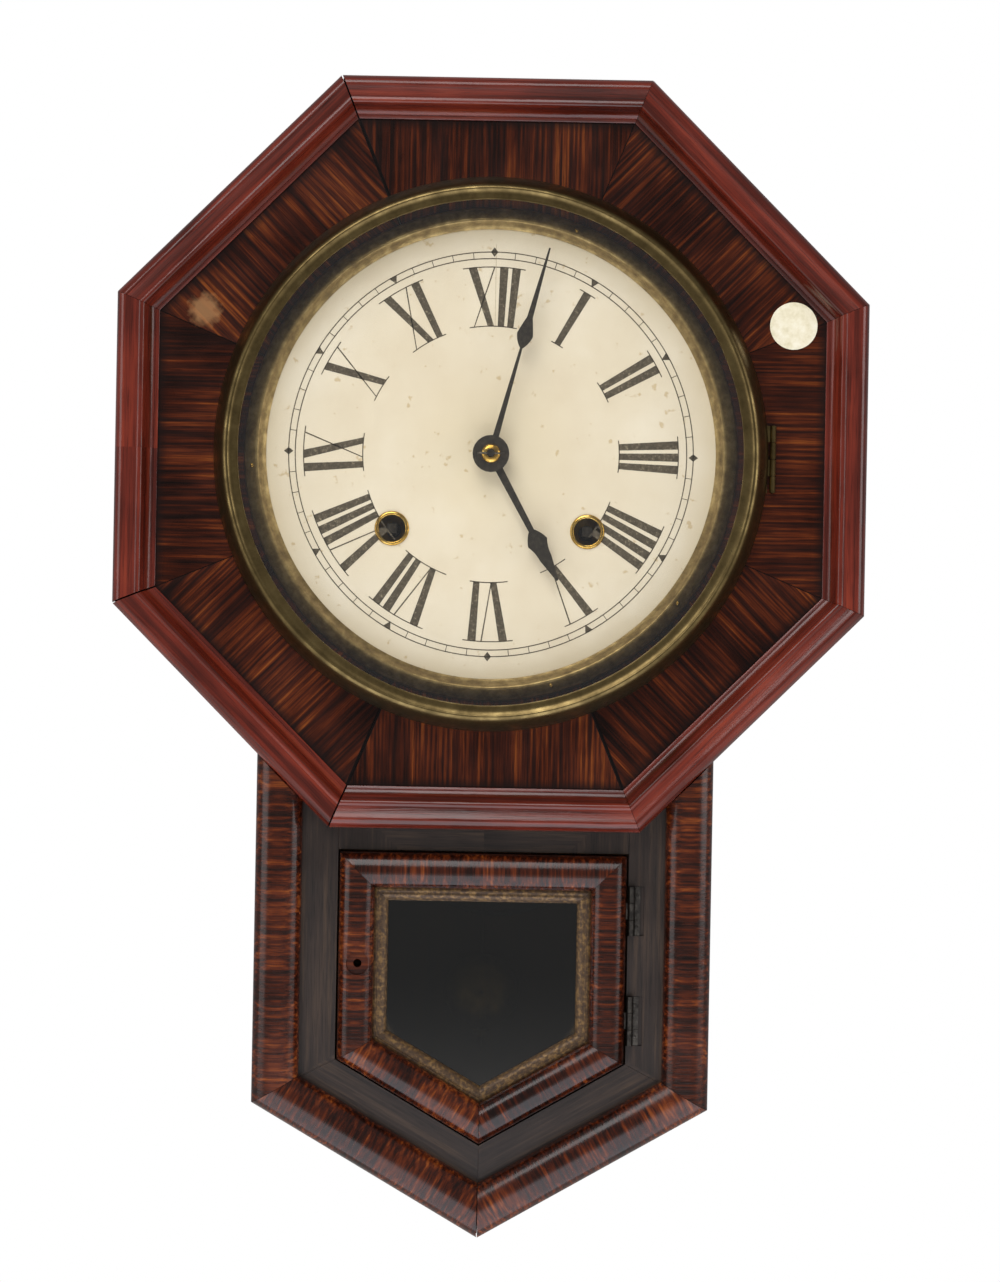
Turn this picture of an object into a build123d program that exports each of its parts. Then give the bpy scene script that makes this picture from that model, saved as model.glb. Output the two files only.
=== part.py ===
from build123d import *
import math
import os

# Drop-octagon schoolhouse clock with an eight-inch dial, wound at two squares, striking on a gong.
# X runs to the right, Z up and Y into the wall. The wall is the plane Y = 0 and the origin is the
# centre of the hanger hole. Depths are measured forwards from the wall. Places on the front are
# measured from the hand axis, to the right and upwards. Lengths are in millimetres.

# Case front
dial_below_hanger = 140.0
octagon_across = 307.0
drop_width = 187.0
drop_tip = 320.9            # hand axis down to the point of the drop
point_slope = 30.0          # slope of the two lower sides
mitre_crack = 0.1           # open hairline at each mitre

# Case boards
backboard_thickness = 8.0
board_thickness = 8.0
board_setback = 1.0         # boards stand inside the outline of the front by this
box_depth = 78.0            # wall to the front edges of the boards
box_top_height = 105.0      # hand axis up to the top board
panel_thickness = 12.0
panel_setback = 0.7
panel_hole_radius = 84.0
front_frame_thickness = 8.0

# Octagon moulding
moulding_width = 17.0
moulding_height = 10.0
moulding_side = 4.5         # upright outer side, below the rounding
moulding_shoulder = 3.6     # outer ridge, from the outer side
moulding_band_end = 9.4
moulding_band_drop = 1.7
moulding_bead = 2.2
moulding_hollow = 1.8       # hollow between the bead and the fillet
moulding_hollow_rise = 1.2
moulding_fillet = 1.4

# Drop moulding, half round
drop_moulding_width = 19.0
drop_moulding_height = 10.5
drop_moulding_edge = 2.5

# Lower door
door_width = 117.6
door_below_octagon = 10.2   # foot of the octagon down to the top edge of the door
door_tip = 282.7
door_fit = 0.8              # gap between the door and the front frame
door_rail_width = 14.5
door_rail_thickness = 7.5
door_moulding_height = 8.0
door_moulding_edge = 1.5
bead_width = 5.5
bead_height = 4.2
bead_edge = 1.2
bead_crest = 1.0            # flat top of the bead, next to the rail
bead_round = 6.0            # radius of its fall to the glass
glass_thickness = 2.0
glass_play = 0.4
knob_hole_radius = 1.7
knob_recess_radius = 4.7
knob_recess_floor = 7.0     # above the face of the front frame
knob_from_edge = 8.0
knob_below_door_top = 45.3

# Butt hinges of the door
butt_height = 20.0
butt_below_door_top = 22.5  # middle of the upper hinge
butt_above_corner = 17.5    # middle of the lower hinge
butt_barrel_radius = 1.5
butt_pin_radius = 0.6
butt_leaf_thickness = 0.8
butt_leaf_width = 3.6
butt_offset = 2.2           # pin centre from the edge of the door
butt_lug_reach = 4.5
butt_pocket_play = 0.3

# Bezel, its glass and hinge
bezel_glass_radius = 104.6
bezel_rim_outside = 8.8     # outside of the rim, from the edge of the glass
bezel_shoulder_outside = 6.4
bezel_ridge_outside = 2.4
bezel_lip_inside = 2.1      # lip that laps over the glass
bezel_height = 17.3
bezel_wall = 1.8
bezel_rim_height = 1.4
bezel_shoulder_drop = 6.2   # shoulder of the flange below the ridge
bezel_lift = 1.2            # under the rim, where the hinge strap lies
bezel_glass_depth_below_ridge = 4.2
bezel_hinge_length = 27.6
bezel_barrel_radius = 1.25
bezel_pin_radius = 0.55
bezel_barrel_gap = 0.65     # barrel to bezel rim
bezel_strap_thickness = 0.6
bezel_strap_reach = 7.0
bezel_leaf_depth = 6.0

# Dial, sight ring and winding holes
dial_inside_sight = 2.0     # edge of the dial inside the edge of the sight ring
dial_thickness = 0.6
dial_sides = 48             # flats hidden under the sight ring and the bezel
dial_centre_hole = 6.0
sight_inside_glass = 3.6    # edge of the sight ring inside the edge of the bezel glass
sight_slope_width = 5.4     # edge of the sight ring in to its ridge
sight_lip_width = 3.6       # ridge in to the lip over the dial
sight_height = 4.5
sight_lip = 0.7
winding_spacing = 80.0
winding_drop = 31.0
grommet_radius = 7.1
grommet_bore = 5.45
grommet_sleeve = 6.1
grommet_height = 0.9
grommet_tail = 1.6

# Hands
hand_thickness = 0.9
hand_hub_radius = 7.5
minute_hand_length = 87.0
minute_bulb_start = 44.6
minute_bulb_middle = 50.3
minute_bulb_end = 57.5
minute_bulb_width = 6.7
minute_stem_width = 2.8
minute_neck_width = 1.1
minute_tip_width = 0.7
hour_hand_length = 58.4
hour_bulb_start = 35.5
hour_bulb_middle = 41.0
hour_bulb_end = 48.0
hour_bulb_width = 8.7
hour_stem_width = 3.4
hour_neck_width = 2.4
hour_tip_width = 0.9
hand_lower_swell = 0.37     # half widths beside the bulb, as shares of its width and of the neck
hand_upper_swell = 0.35
hand_shoulder_swell = 1.1
minute_hand_bearing = 15.0  # clockwise from twelve, at rest
hour_hand_bearing = 151.25
hour_hand_above_dial = 4.6
hand_spacing = 2.6          # hour hand to minute hand
collet_radius = 4.0
collet_height = 1.7
collet_top_radius = 2.6
hand_pin_length = 11.0
hand_pin_radius = 0.5

# Movement plates
back_plate_depth = 34.0
plate_thickness = 1.5
plate_gap = 28.0
plate_half_width = 66.0
plate_top_half_width = 47.0
plate_shoulder = -8.0
plate_top = 45.0
plate_bottom = 61.0
pillar_radius = 3.0
pillar_top_x = 24.0
pillar_top_z = 39.5
pillar_bottom_x = 60.0
pillar_bottom_z = 55.0
foot_radius = 5.0
bar_sides = 6               # hidden rods and pillars are drawn with flats
bore_sides = 12
ring_sides = 24

# Teeth: straight flanks, cut thin enough to run freely
wheel_addendum = 0.9
wheel_dedendum = 1.1
pinion_addendum = 0.5
pinion_dedendum = 1.2
leaf_tip_share = 0.20       # of the circular pitch
leaf_root_share = 0.28
main_teeth = 36
main_module = 4 / 3
second_teeth = 36
second_module = 7 / 6
fine_teeth = 60
centre_module = 0.6
third_module = 0.5
escape_teeth = 35
escape_radius = 13.5
escape_tooth_depth = 2.6
leaves = 6
motion_leaves = 8
minute_wheel_teeth = 24
minute_wheel_module = 0.75
hour_wheel_teeth = 32
hour_wheel_module = 0.6
strike_teeth = 36
strike_third_module = 0.8
warning_module = 0.7
count_teeth = 18
count_module = 4 / 3
count_radius = 17.0
count_slot_depth = 2.4
count_slot_width = 1.6
count_rim_sides = 24
count_pinion_length = 2.4
main_wheel_thickness = 1.8
train_wheel_thickness = 1.2
pinion_length = 3.6
motion_pinion_length = 2.4
strike_second_clear = 3.0   # strike second wheel further from the centre than the time one
strike_third_bearing = 93.0     # each from the wheel that drives it, anticlockwise from the right
warning_bearing = 165.0
fly_bearing = 80.0
count_bearing = 163.0

# Layers of the movement
main_wheel_behind_plate = 5.5   # back of the main wheels behind the front plate
second_behind_main = 3.7
centre_before_main = 0.5
third_above_back = 10.5     # from the front of the back plate
escape_above_back = 4.5
strike_third_above_back = 12.5
warning_above_back = 7.5
spring_above_back = 2.5
motion_above_front = 1.2    # from the front of the front plate
hour_before_motion = 3.6
count_disc_before_motion = 3.2
count_before_motion = 0.4
arbor_past_disc = 1.5
minute_stud_past_wheel = 2.6
pipe_past_hand = 0.4
pinion_before_centre = 1.2

# Arbors
arbor_radius = 1.1
minute_arbor_radius = 1.9
tail_arbor_radius = 1.4
winding_arbor_radius = 3.0
winding_pivot_radius = 2.0
winding_square = 4.0
winding_square_length = 12.0
winding_tip_behind_dial = 2.4
ratchet_teeth = 12
ratchet_radius = 8.0
ratchet_tooth_depth = 1.6
click_width = 4.0
click_pivot_clear = 5.5     # pivot outside the ratchet
click_pivot_turn = 25.0     # pivot and nose either side of the top of the ratchet, in degrees
click_nose_turn = 18.0
click_taper = 2.1
end_shake = 0.15
running_fit = 0.05
hour_pipe_wall = 1.1
hand_square = 2.4           # square end of the minute arbor
arbor_beyond_pin = 1.2

# Verge, pendulum
verge_above_axis = 37.0
escape_above_axis = 21.0
verge_arc_radius = 15.4
verge_arc_width = 1.7
verge_arc_half_angle = 48.0
crutch_length = 42.0
crutch_width = 3.0
crutch_thickness = 1.0
fork_prong = 1.2
fork_height = 3.0
crutch_before_pendulum = 3.0
cock_before_tip = 1.5
cock_width = 8.0
cock_height = 5.0
clamp_height = 3.0
pendulum_depth = 26.0
bob_below_axis = 226.0
bob_radius = 16.0
bob_thickness = 10.0
bob_edge = 2.4
bob_flat_radius = 8.0       # its faces slope from the rim in to this
rod_radius = 0.8
rod_end_below_bob = 8.0
suspension_width = 5.0
suspension_thickness = 0.3
suspension_length = 14.0
rating_nut_radius = 3.5
rating_nut_height = 3.0

# Mainsprings
spring_width = 13.0
spring_strip = 0.6
spring_inner_radius = 6.0
spring_turns = 3.0
spring_pitch = 3.6
spring_facets_per_turn = 9

# Fly, lever, hammer and gong
fly_half_width = 11.0
fly_length = 10.0
fly_thickness = 0.5
fly_turn = 20.0             # how it stands at rest
fly_behind_plate = 1.5
lifting_pins = 8
lifting_pin_circle = 15.0
lifting_pin_radius = 0.8
lifting_pin_length = 2.5
hammer_arbor = (-12.0, -44.0)
hammer_head_place = (-40.6, -118.6)
hammer_head_radius = 4.0
hammer_head_length = 11.0
hammer_rod_radius = 1.0
hammer_rod_depth = 20.0
hammer_tail = 18.5
lever_arbor = (-52.0, 20.0)
lever_width = 2.0
gong_centre = (6.7, -147.7)
gong_radius = 50.7
gong_pitch = 7.0
gong_turns = 4.0
gong_facets_per_turn = 16
gong_wire = 2.0
gong_wire_depth = 2.5
gong_stand_height = 6.0
gong_flange_radius = 12.0
gong_flange_height = 2.0
gong_boss_radius = 5.0

# Hanger plate
hanger_hole_radius = 4.0
hanger_thickness = 1.5
hanger_width = 24.0
hanger_foot = 22.0          # part of the plate that is let into the backboard

# Clearances
seat_gap = 0.2
moving_gap = 0.3

# Radii that follow the glass of the bezel
bezel_radius = bezel_glass_radius + bezel_rim_outside
bezel_shoulder_radius = bezel_glass_radius + bezel_shoulder_outside
bezel_ridge_radius = bezel_glass_radius + bezel_ridge_outside
bezel_lip_radius = bezel_glass_radius - bezel_lip_inside
sight_outer_radius = bezel_glass_radius - sight_inside_glass
sight_ridge_radius = sight_outer_radius - sight_slope_width
sight_inner_radius = sight_ridge_radius - sight_lip_width
dial_radius = sight_outer_radius - dial_inside_sight

# Depths that follow
dial_z = -dial_below_hanger
octagon_flat = octagon_across / 2
door_top = octagon_flat + door_below_octagon
panel_front = box_depth + panel_thickness
frame_front = box_depth + front_frame_thickness
door_back = frame_front - door_rail_thickness
dial_front = panel_front + dial_thickness
back_plate_front = back_plate_depth + plate_thickness
front_plate_depth = back_plate_front + plate_gap
front_plate_front = front_plate_depth + plate_thickness
drop_half = drop_width / 2
door_half = door_width / 2
slope_cos = math.cos(math.radians(point_slope))
slope_tan = math.tan(math.radians(point_slope))


def facing(depth, x=0, z=0, clockwise=0):
    # plane parallel to the wall, seen from the front, measured from the hand axis
    turn = math.radians(clockwise)
    return Plane(origin=(x, -depth, dial_z + z), x_dir=(math.cos(turn), 0, -math.sin(turn)), z_dir=(0, -1, 0))


def turning(x=0, z=0):
    # plane through an arbor: its x is the radius and its y the depth
    return Plane(origin=(x, 0, dial_z + z), x_dir=(1, 0, 0), z_dir=(0, 0, -1))


def spindle(x=0, z=0):
    return Axis((x, 0, dial_z + z), (0, -1, 0))


def looking_down(x=0, depth=0, z=0):
    # level plane seen from above: its x runs right and its y into the wall
    return Plane(origin=(x, -depth, dial_z + z), x_dir=(1, 0, 0), z_dir=(0, 0, 1))


def polar(start, reach, bearing):
    angle = math.radians(bearing)
    return (start[0] + reach * math.cos(angle), start[1] + reach * math.sin(angle))


def bearing_of(start, end):
    return math.degrees(math.atan2(end[1] - start[1], end[0] - start[0]))


def meet(first, first_reach, second, second_reach):
    # the place that lies at one reach from each of two arbors, to the left of the line between
    across = second[0] - first[0]
    up = second[1] - first[1]
    span = math.hypot(across, up)
    along = (first_reach ** 2 - second_reach ** 2 + span ** 2) / (2 * span)
    aside = math.sqrt(first_reach ** 2 - along ** 2)
    return (first[0] + (along * across - aside * up) / span, first[1] + (along * up + aside * across) / span)


def round_face(depth, radius, at=(0, 0)):
    with BuildSketch(facing(depth, *at)) as face:
        Circle(radius)
    return face.sketch


def bar_face(depth, radius, at=(0, 0), sides=bar_sides):
    # hidden rod, its flats kept inside the round of that radius
    with BuildSketch(facing(depth, *at)) as face:
        RegularPolygon(radius, sides)
    return face.sketch


def bore_in(radius):
    # hidden bore, its flats kept outside the round of that radius
    RegularPolygon(radius, bore_sides, major_radius=False, mode=Mode.SUBTRACT)


def wheel_face(depth, teeth, module, at, bearing, bore):
    # wheel with pointed teeth, one of them along the bearing
    pitch_radius = teeth * module / 2
    root = pitch_radius - wheel_dedendum * module
    crest = pitch_radius + wheel_addendum * module
    pitch = 360 / teeth
    outline = []
    for tooth in range(teeth):
        middle = bearing + tooth * pitch
        outline.append(polar((0, 0), root, middle - pitch / 2))
        outline.append(polar((0, 0), crest, middle))
    with BuildSketch(facing(depth, *at)) as face:
        with BuildLine():
            Polyline(*outline, close=True)
        make_face()
        if bore:
            bore_in(bore)
    return face.sketch


def pinion_face(depth, count, module, at, bearing, bore=0):
    # pinion with a gap, not a leaf, pointing along the bearing
    pitch_radius = count * module / 2
    root = pitch_radius - pinion_dedendum * module
    crest = pitch_radius + pinion_addendum * module
    half_tip = math.degrees(leaf_tip_share * math.pi * module / 2 / crest)
    half_root = math.degrees(leaf_root_share * math.pi * module / 2 / root)
    outline = []
    for leaf in range(count):
        middle = bearing + (leaf + 0.5) * 360 / count
        outline.append(polar((0, 0), root, middle - half_root))
        outline.append(polar((0, 0), crest, middle - half_tip))
        outline.append(polar((0, 0), crest, middle + half_tip))
        outline.append(polar((0, 0), root, middle + half_root))
    with BuildSketch(facing(depth, *at)) as face:
        with BuildLine():
            Polyline(*outline, close=True)
        make_face()
        if bore:
            bore_in(bore)
    return face.sketch


def saw_face(depth, radius, teeth, tooth_depth, at, lean=1):
    # ratchet or escape wheel: each tooth has one steep side and one long back
    outline = []
    for tooth in range(teeth):
        middle = tooth * 360 / teeth
        outline.append(polar((0, 0), radius, lean * middle))
        outline.append(polar((0, 0), radius - tooth_depth, lean * (middle + 40 / teeth)))
    with BuildSketch(facing(depth, *at)) as face:
        with BuildLine():
            Polyline(*outline, close=True)
        make_face()
    return face.sketch


def spiral_face(depth, at, inner, pitch, turns, strip, per_turn, start, lean, tail=()):
    # flat coil of even pitch; the tail lists the radii by which its outer end swings out
    steps = int(turns * per_turn)
    radii = [inner + pitch * step / per_turn for step in range(steps + 1)] + list(tail)
    inside = []
    outside = []
    for step, radius in enumerate(radii):
        angle = start + lean * step * 360 / per_turn
        inside.append(polar((0, 0), radius - strip / 2, angle))
        outside.append(polar((0, 0), radius + strip / 2, angle))
    with BuildSketch(facing(depth, *at)) as face:
        with BuildLine():
            Polyline(*inside, *reversed(outside), close=True)
        make_face()
    return face.sketch


def octagon_outline(flat):
    # regular octagon standing on a side, run anticlockwise; flat is the reach to the middle of a side
    half_turn = 180 / 8
    reach = flat / math.cos(math.radians(half_turn))
    return [polar((0, 0), reach, half_turn * (2 * side + 1)) for side in range(8)]


def shield(half_width, top, tip):
    # outline of the drop and of its door: square at the top, pointed below, run anticlockwise
    corner = tip - half_width * slope_tan
    return [(-half_width, -top), (-half_width, -corner), (0, -tip), (half_width, -corner), (half_width, -top)]


def inset(outline, distance):
    # the same shield with every side moved inwards
    half_width = outline[3][0] - distance
    return shield(half_width, -outline[0][1] + distance, -outline[2][1] - distance / slope_cos)


def outline_face(depth, corners):
    with BuildSketch(facing(depth)) as face:
        with BuildLine():
            Polyline(*corners, close=True)
        make_face()
    return face.sketch


def mitred_rails(corners, depth, draw_profile):
    # one rail along each side of an outline run anticlockwise, sawn along the corner bisectors;
    # in the profile x runs inwards from the outline and y towards the viewer
    count = len(corners)
    points = [facing(depth).from_local_coords(Vector(x, z, 0)) for x, z in corners]
    runs = [(points[(side + 1) % count] - points[side]).normalized() for side in range(count)]
    rails = []
    for side in range(count):
        run = runs[side]
        inwards = Vector(0, -1, 0).cross(run)
        start = points[side]
        end = points[(side + 1) % count]
        start_normal = (runs[side - 1] + run).normalized()
        end_normal = (run + runs[(side + 1) % count]).normalized() * -1
        overrun = octagon_across / 2
        with BuildPart() as rail:
            extrude(
                draw_profile(Plane(origin=start - run * overrun, x_dir=inwards, z_dir=run)),
                amount=(end - start).length + 2 * overrun,
            )
            split(bisect_by=Plane(origin=start + run * mitre_crack / 2, z_dir=start_normal))
            split(bisect_by=Plane(origin=end - run * mitre_crack / 2, z_dir=end_normal))
        rails.append(rail.part)
    return rails


def slab(width, thickness):
    def draw(plane):
        with BuildSketch(plane) as face:
            Rectangle(width, thickness, align=(Align.MIN, Align.MIN))
        return face.sketch
    return draw


def half_round(width, height, edge):
    def draw(plane):
        with BuildSketch(plane) as face:
            with BuildLine():
                Line((0, 0), (0, edge))
                ThreePointArc((0, edge), (width / 2, height), (width, edge))
                Polyline((width, edge), (width, 0), (0, 0))
            make_face()
        return face.sketch
    return draw


def octagon_section(plane):
    # upright side, round shoulder, nearly flat band, bead and a hollow down to the panel;
    # the shares below place the flats of the shoulder and of the bead along their rounds
    bead_x = moulding_band_end
    bead_y = moulding_height - moulding_band_drop
    shoulder_width = moulding_shoulder
    shoulder_height = moulding_height - moulding_side
    with BuildSketch(plane) as face:
        with BuildLine():
            Polyline(
                (0, 0),
                (0, moulding_side),
                (shoulder_width * 0.12, moulding_side + shoulder_height * 0.5),
                (shoulder_width * 0.45, moulding_side + shoulder_height * 0.87),
                (shoulder_width, moulding_height),
                (bead_x, bead_y),
                (bead_x + moulding_bead * 0.4, bead_y + moulding_bead * 0.2),
                (bead_x + moulding_bead, bead_y - moulding_bead * 0.25),
                (bead_x + moulding_bead * 1.5, bead_y - moulding_bead * 1.6),
                (moulding_width - moulding_hollow, moulding_fillet + moulding_hollow_rise),
                (moulding_width, moulding_fillet),
                (moulding_width, 0),
                close=True,
            )
        make_face()
    return face.sketch


def bead_section(plane):
    # worn gilt bead: high at the door rail, falling to the glass in a quarter round
    with BuildSketch(plane) as face:
        with BuildLine():
            Line((0, 0), (0, bead_height))
            Line((0, bead_height), (bead_crest, bead_height))
            RadiusArc((bead_crest, bead_height), (bead_width, bead_edge), -bead_round)
            Polyline((bead_width, bead_edge), (bead_width, 0), (0, 0))
        make_face()
    return face.sketch


# Outlines of the front
octagon = octagon_outline(octagon_flat)
panel_octagon = octagon_outline(octagon_flat - panel_setback)
octagon_keepout = octagon_outline(octagon_flat + seat_gap)
drop_outline = shield(drop_half, -box_top_height, drop_tip)
box_outline = inset(drop_outline, board_setback)
box_outline[0] = (box_outline[0][0], box_top_height)
box_outline[4] = (box_outline[4][0], box_top_height)
door_outline = shield(door_half, door_top, door_tip)
door_opening = inset(door_outline, -door_fit)

# Backboard, let in at the top for the hanger plate
hanger_reach_down = dial_below_hanger - box_top_height + hanger_foot
with BuildPart() as backboard:
    extrude(outline_face(0, box_outline), amount=backboard_thickness)
    with BuildSketch(facing(0, 0, dial_below_hanger)):
        with Locations((0, -hanger_reach_down / 2)):
            Rectangle(hanger_width + 2 * seat_gap, hanger_reach_down + 2 * seat_gap)
    extrude(amount=hanger_thickness + seat_gap, mode=Mode.SUBTRACT)

# Boards of the box: left side, two lower boards, right side, top
board_width = box_depth - backboard_thickness
box_boards = mitred_rails(box_outline, backboard_thickness, slab(board_thickness, board_width))
with BuildPart() as left_side_board:
    add(box_boards[0])
with BuildPart() as left_bottom_board:
    add(box_boards[1])
with BuildPart() as right_bottom_board:
    add(box_boards[2])
with BuildPart() as right_side_board:
    add(box_boards[3])
with BuildPart() as top_board:
    add(box_boards[4])

# Hanger plate
with BuildPart() as hanger_plate:
    with BuildSketch(facing(0, 0, dial_below_hanger)):
        RegularPolygon(hanger_width / 2, 8, major_radius=False, rotation=22.5)
        with Locations((0, -hanger_reach_down / 2)):
            Rectangle(hanger_width, hanger_reach_down)
        Circle(hanger_hole_radius, mode=Mode.SUBTRACT)
    extrude(amount=hanger_thickness)

# Eight panel segments round the dial hole, let in for the leaf of the bezel hinge
barrel_x = bezel_radius + bezel_barrel_gap + bezel_barrel_radius
panel_segments = mitred_rails(panel_octagon, box_depth, slab(octagon_flat / 2, panel_thickness))
with BuildPart() as octagon_panel:
    add(panel_segments)
    extrude(round_face(box_depth, panel_hole_radius), amount=panel_thickness, mode=Mode.SUBTRACT)
    with BuildSketch(facing(panel_front - bezel_leaf_depth, barrel_x)):
        Rectangle(bezel_strap_thickness + 2 * seat_gap, bezel_hinge_length + 2 * seat_gap)
    extrude(amount=bezel_leaf_depth, mode=Mode.SUBTRACT)

# Eight mouldings round the octagon
octagon_rails = mitred_rails(octagon, panel_front, octagon_section)
with BuildPart() as octagon_moulding:
    add(octagon_rails)

# Front frame of the drop: two stiles scribed to the octagon, two lower rails and a head rail
butt_x = door_half + butt_offset
butt_depth = frame_front + butt_barrel_radius
door_corner = door_tip - door_half * slope_tan
butt_heights = [-door_top - butt_below_door_top, -door_corner + butt_above_corner]
frame_outer = inset(drop_outline, board_setback)
stile_top = (door_opening[0][0], frame_outer[0][1])
frame_parts = [
    [frame_outer[0], frame_outer[1], door_opening[1], stile_top],
    [frame_outer[1], frame_outer[2], door_opening[2], door_opening[1]],
    [frame_outer[2], frame_outer[3], door_opening[3], door_opening[2]],
    [frame_outer[3], frame_outer[4], (-stile_top[0], stile_top[1]), door_opening[3]],
    [(stile_top[0], -octagon_flat), door_opening[0], door_opening[4], (-stile_top[0], -octagon_flat)],
]
with BuildPart() as front_frame:
    for corners in frame_parts:
        with BuildSketch(facing(box_depth)):
            with BuildLine():
                Polyline(*corners, close=True)
            make_face()
            offset(amount=-mitre_crack / 2, mode=Mode.REPLACE)
        extrude(amount=front_frame_thickness)
    extrude(outline_face(box_depth, octagon_keepout), amount=front_frame_thickness, mode=Mode.SUBTRACT)
    for butt_z in butt_heights:
        with BuildSketch(facing(frame_front - butt_leaf_thickness, butt_x + butt_leaf_width / 2, butt_z)):
            Rectangle(butt_leaf_width + 2 * butt_barrel_radius + 2 * seat_gap, butt_height + 2 * seat_gap)
        extrude(amount=butt_leaf_thickness, mode=Mode.SUBTRACT)

# Half-round mouldings of the drop, scribed to the octagon
drop_rails = mitred_rails(
    drop_outline, frame_front, half_round(drop_moulding_width, drop_moulding_height, drop_moulding_edge)
)
with BuildPart() as drop_moulding:
    add(drop_rails[:4])
    extrude(outline_face(frame_front, octagon_keepout), amount=drop_moulding_height, mode=Mode.SUBTRACT)

# Door: rails with a half-round front, pierced for the knob and let in for the hinge leaves
def door_rail_section(plane):
    with BuildSketch(plane) as face:
        with BuildLine():
            Line((0, 0), (0, door_rail_thickness + door_moulding_edge))
            ThreePointArc(
                (0, door_rail_thickness + door_moulding_edge),
                (door_rail_width / 2, door_rail_thickness + door_moulding_height),
                (door_rail_width, door_rail_thickness + door_moulding_edge),
            )
            Polyline(
                (door_rail_width, door_rail_thickness + door_moulding_edge), (door_rail_width, 0), (0, 0)
            )
        make_face()
    return face.sketch


door_rails = mitred_rails(door_outline, door_back, door_rail_section)
knob_at = (-door_half + knob_from_edge, -door_top - knob_below_door_top)
with BuildPart() as door_frame:
    add(door_rails)
    extrude(round_face(door_back, knob_hole_radius, knob_at), amount=octagon_flat, mode=Mode.SUBTRACT)
    extrude(
        round_face(frame_front + knob_recess_floor, knob_recess_radius, knob_at),
        amount=octagon_flat,
        mode=Mode.SUBTRACT,
    )
    lug_pocket = 2 * (butt_lug_reach - butt_offset + seat_gap)
    for butt_z in butt_heights:
        with BuildSketch(facing(frame_front - butt_leaf_thickness / 2 - seat_gap, door_half, butt_z)):
            Rectangle(lug_pocket, butt_height / 3 + 2 * butt_pocket_play)
        extrude(amount=butt_leaf_thickness + 2 * seat_gap, mode=Mode.SUBTRACT)
        with BuildSketch(looking_down(butt_x, butt_depth, butt_z - butt_height / 2 - butt_pocket_play)):
            Circle(butt_barrel_radius + moving_gap)
        extrude(amount=butt_height + 2 * butt_pocket_play, mode=Mode.SUBTRACT)

# Butt hinges: case leaf with the outer knuckles, door leaf with the middle knuckle and its pin
with BuildPart() as door_hinge_case_leaves:
    for butt_z in butt_heights:
        butt_bottom = looking_down(butt_x, butt_depth, butt_z - butt_height / 2)
        leaf_x = butt_x + butt_leaf_width / 2
        with BuildSketch(facing(frame_front - butt_leaf_thickness + seat_gap, leaf_x, butt_z)):
            Rectangle(butt_leaf_width, butt_height)
        extrude(amount=butt_leaf_thickness)
        with BuildSketch(butt_bottom):
            RegularPolygon(butt_barrel_radius, bore_sides)
        extrude(amount=butt_height)
        with BuildSketch(looking_down(butt_x, butt_depth, butt_z - butt_height / 6 - moving_gap)):
            Rectangle(2 * butt_leaf_width, 2 * butt_barrel_radius + 2 * moving_gap)
        extrude(amount=butt_height / 3 + 2 * moving_gap, mode=Mode.SUBTRACT)
        with BuildSketch(butt_bottom):
            RegularPolygon(butt_pin_radius + running_fit, bar_sides, major_radius=False)
        extrude(amount=butt_height, mode=Mode.SUBTRACT)

with BuildPart() as door_hinge_leaves:
    for butt_z in butt_heights:
        with BuildSketch(looking_down(butt_x, butt_depth, butt_z - butt_height / 6)):
            RegularPolygon(butt_barrel_radius, bore_sides)
        extrude(amount=butt_height / 3)
        with BuildSketch(facing(frame_front - butt_leaf_thickness / 2 + seat_gap / 2, butt_x, butt_z)):
            Rectangle(butt_lug_reach, butt_height / 3, align=(Align.MAX, Align.CENTER))
        extrude(amount=butt_leaf_thickness)
        with BuildSketch(looking_down(butt_x, butt_depth, butt_z - butt_height / 2)):
            RegularPolygon(butt_pin_radius, bar_sides)
        extrude(amount=butt_height)

# Gilt beads and the door glass behind them
bead_depth = frame_front - bead_height
bead_outline = inset(door_outline, door_rail_width)
bead_rails = mitred_rails(bead_outline, bead_depth, bead_section)
with BuildPart() as door_beads:
    add(bead_rails)

with BuildPart() as door_glass:
    glass_outline = inset(bead_outline, glass_play)
    extrude(outline_face(bead_depth - glass_thickness, glass_outline), amount=glass_thickness)

# Dial plate, pierced at the centre and at the winding squares
winding_places = [(winding_spacing / 2, -winding_drop), (-winding_spacing / 2, -winding_drop)]
with BuildPart() as dial_plate:
    with BuildSketch(facing(panel_front)):
        RegularPolygon(dial_radius, dial_sides)
        bore_in(dial_centre_hole)
        with Locations(*winding_places):
            bore_in(grommet_sleeve + running_fit)
    extrude(amount=dial_thickness)

# Sight ring over the edge of the dial
with BuildPart() as sight_ring:
    with BuildSketch(turning()):
        with BuildLine():
            Polyline(
                (sight_inner_radius, dial_front),
                (sight_inner_radius, dial_front + sight_lip),
                (sight_ridge_radius, dial_front + sight_height),
                (sight_outer_radius, dial_front),
                close=True,
            )
        make_face()
    revolve(axis=spindle())

# Brass grommets in the winding holes: a sleeve through the dial and a sloping flange
with BuildPart() as winding_grommets:
    for place in winding_places:
        extrude(bar_face(dial_front - grommet_tail, grommet_sleeve, place, bore_sides), amount=grommet_tail)
        flange_face = bar_face(dial_front, grommet_radius, place, ring_sides)
        top_radius = (grommet_radius + grommet_bore) / 2
        flange_top = bar_face(dial_front + grommet_height, top_radius, place, ring_sides)
        loft([flange_face, flange_top], ruled=True)
    for place in winding_places:
        bore_start = dial_front - grommet_tail
        extrude(
            bar_face(bore_start, grommet_bore, place, ring_sides),
            amount=grommet_tail + grommet_height,
            mode=Mode.SUBTRACT,
        )

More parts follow.
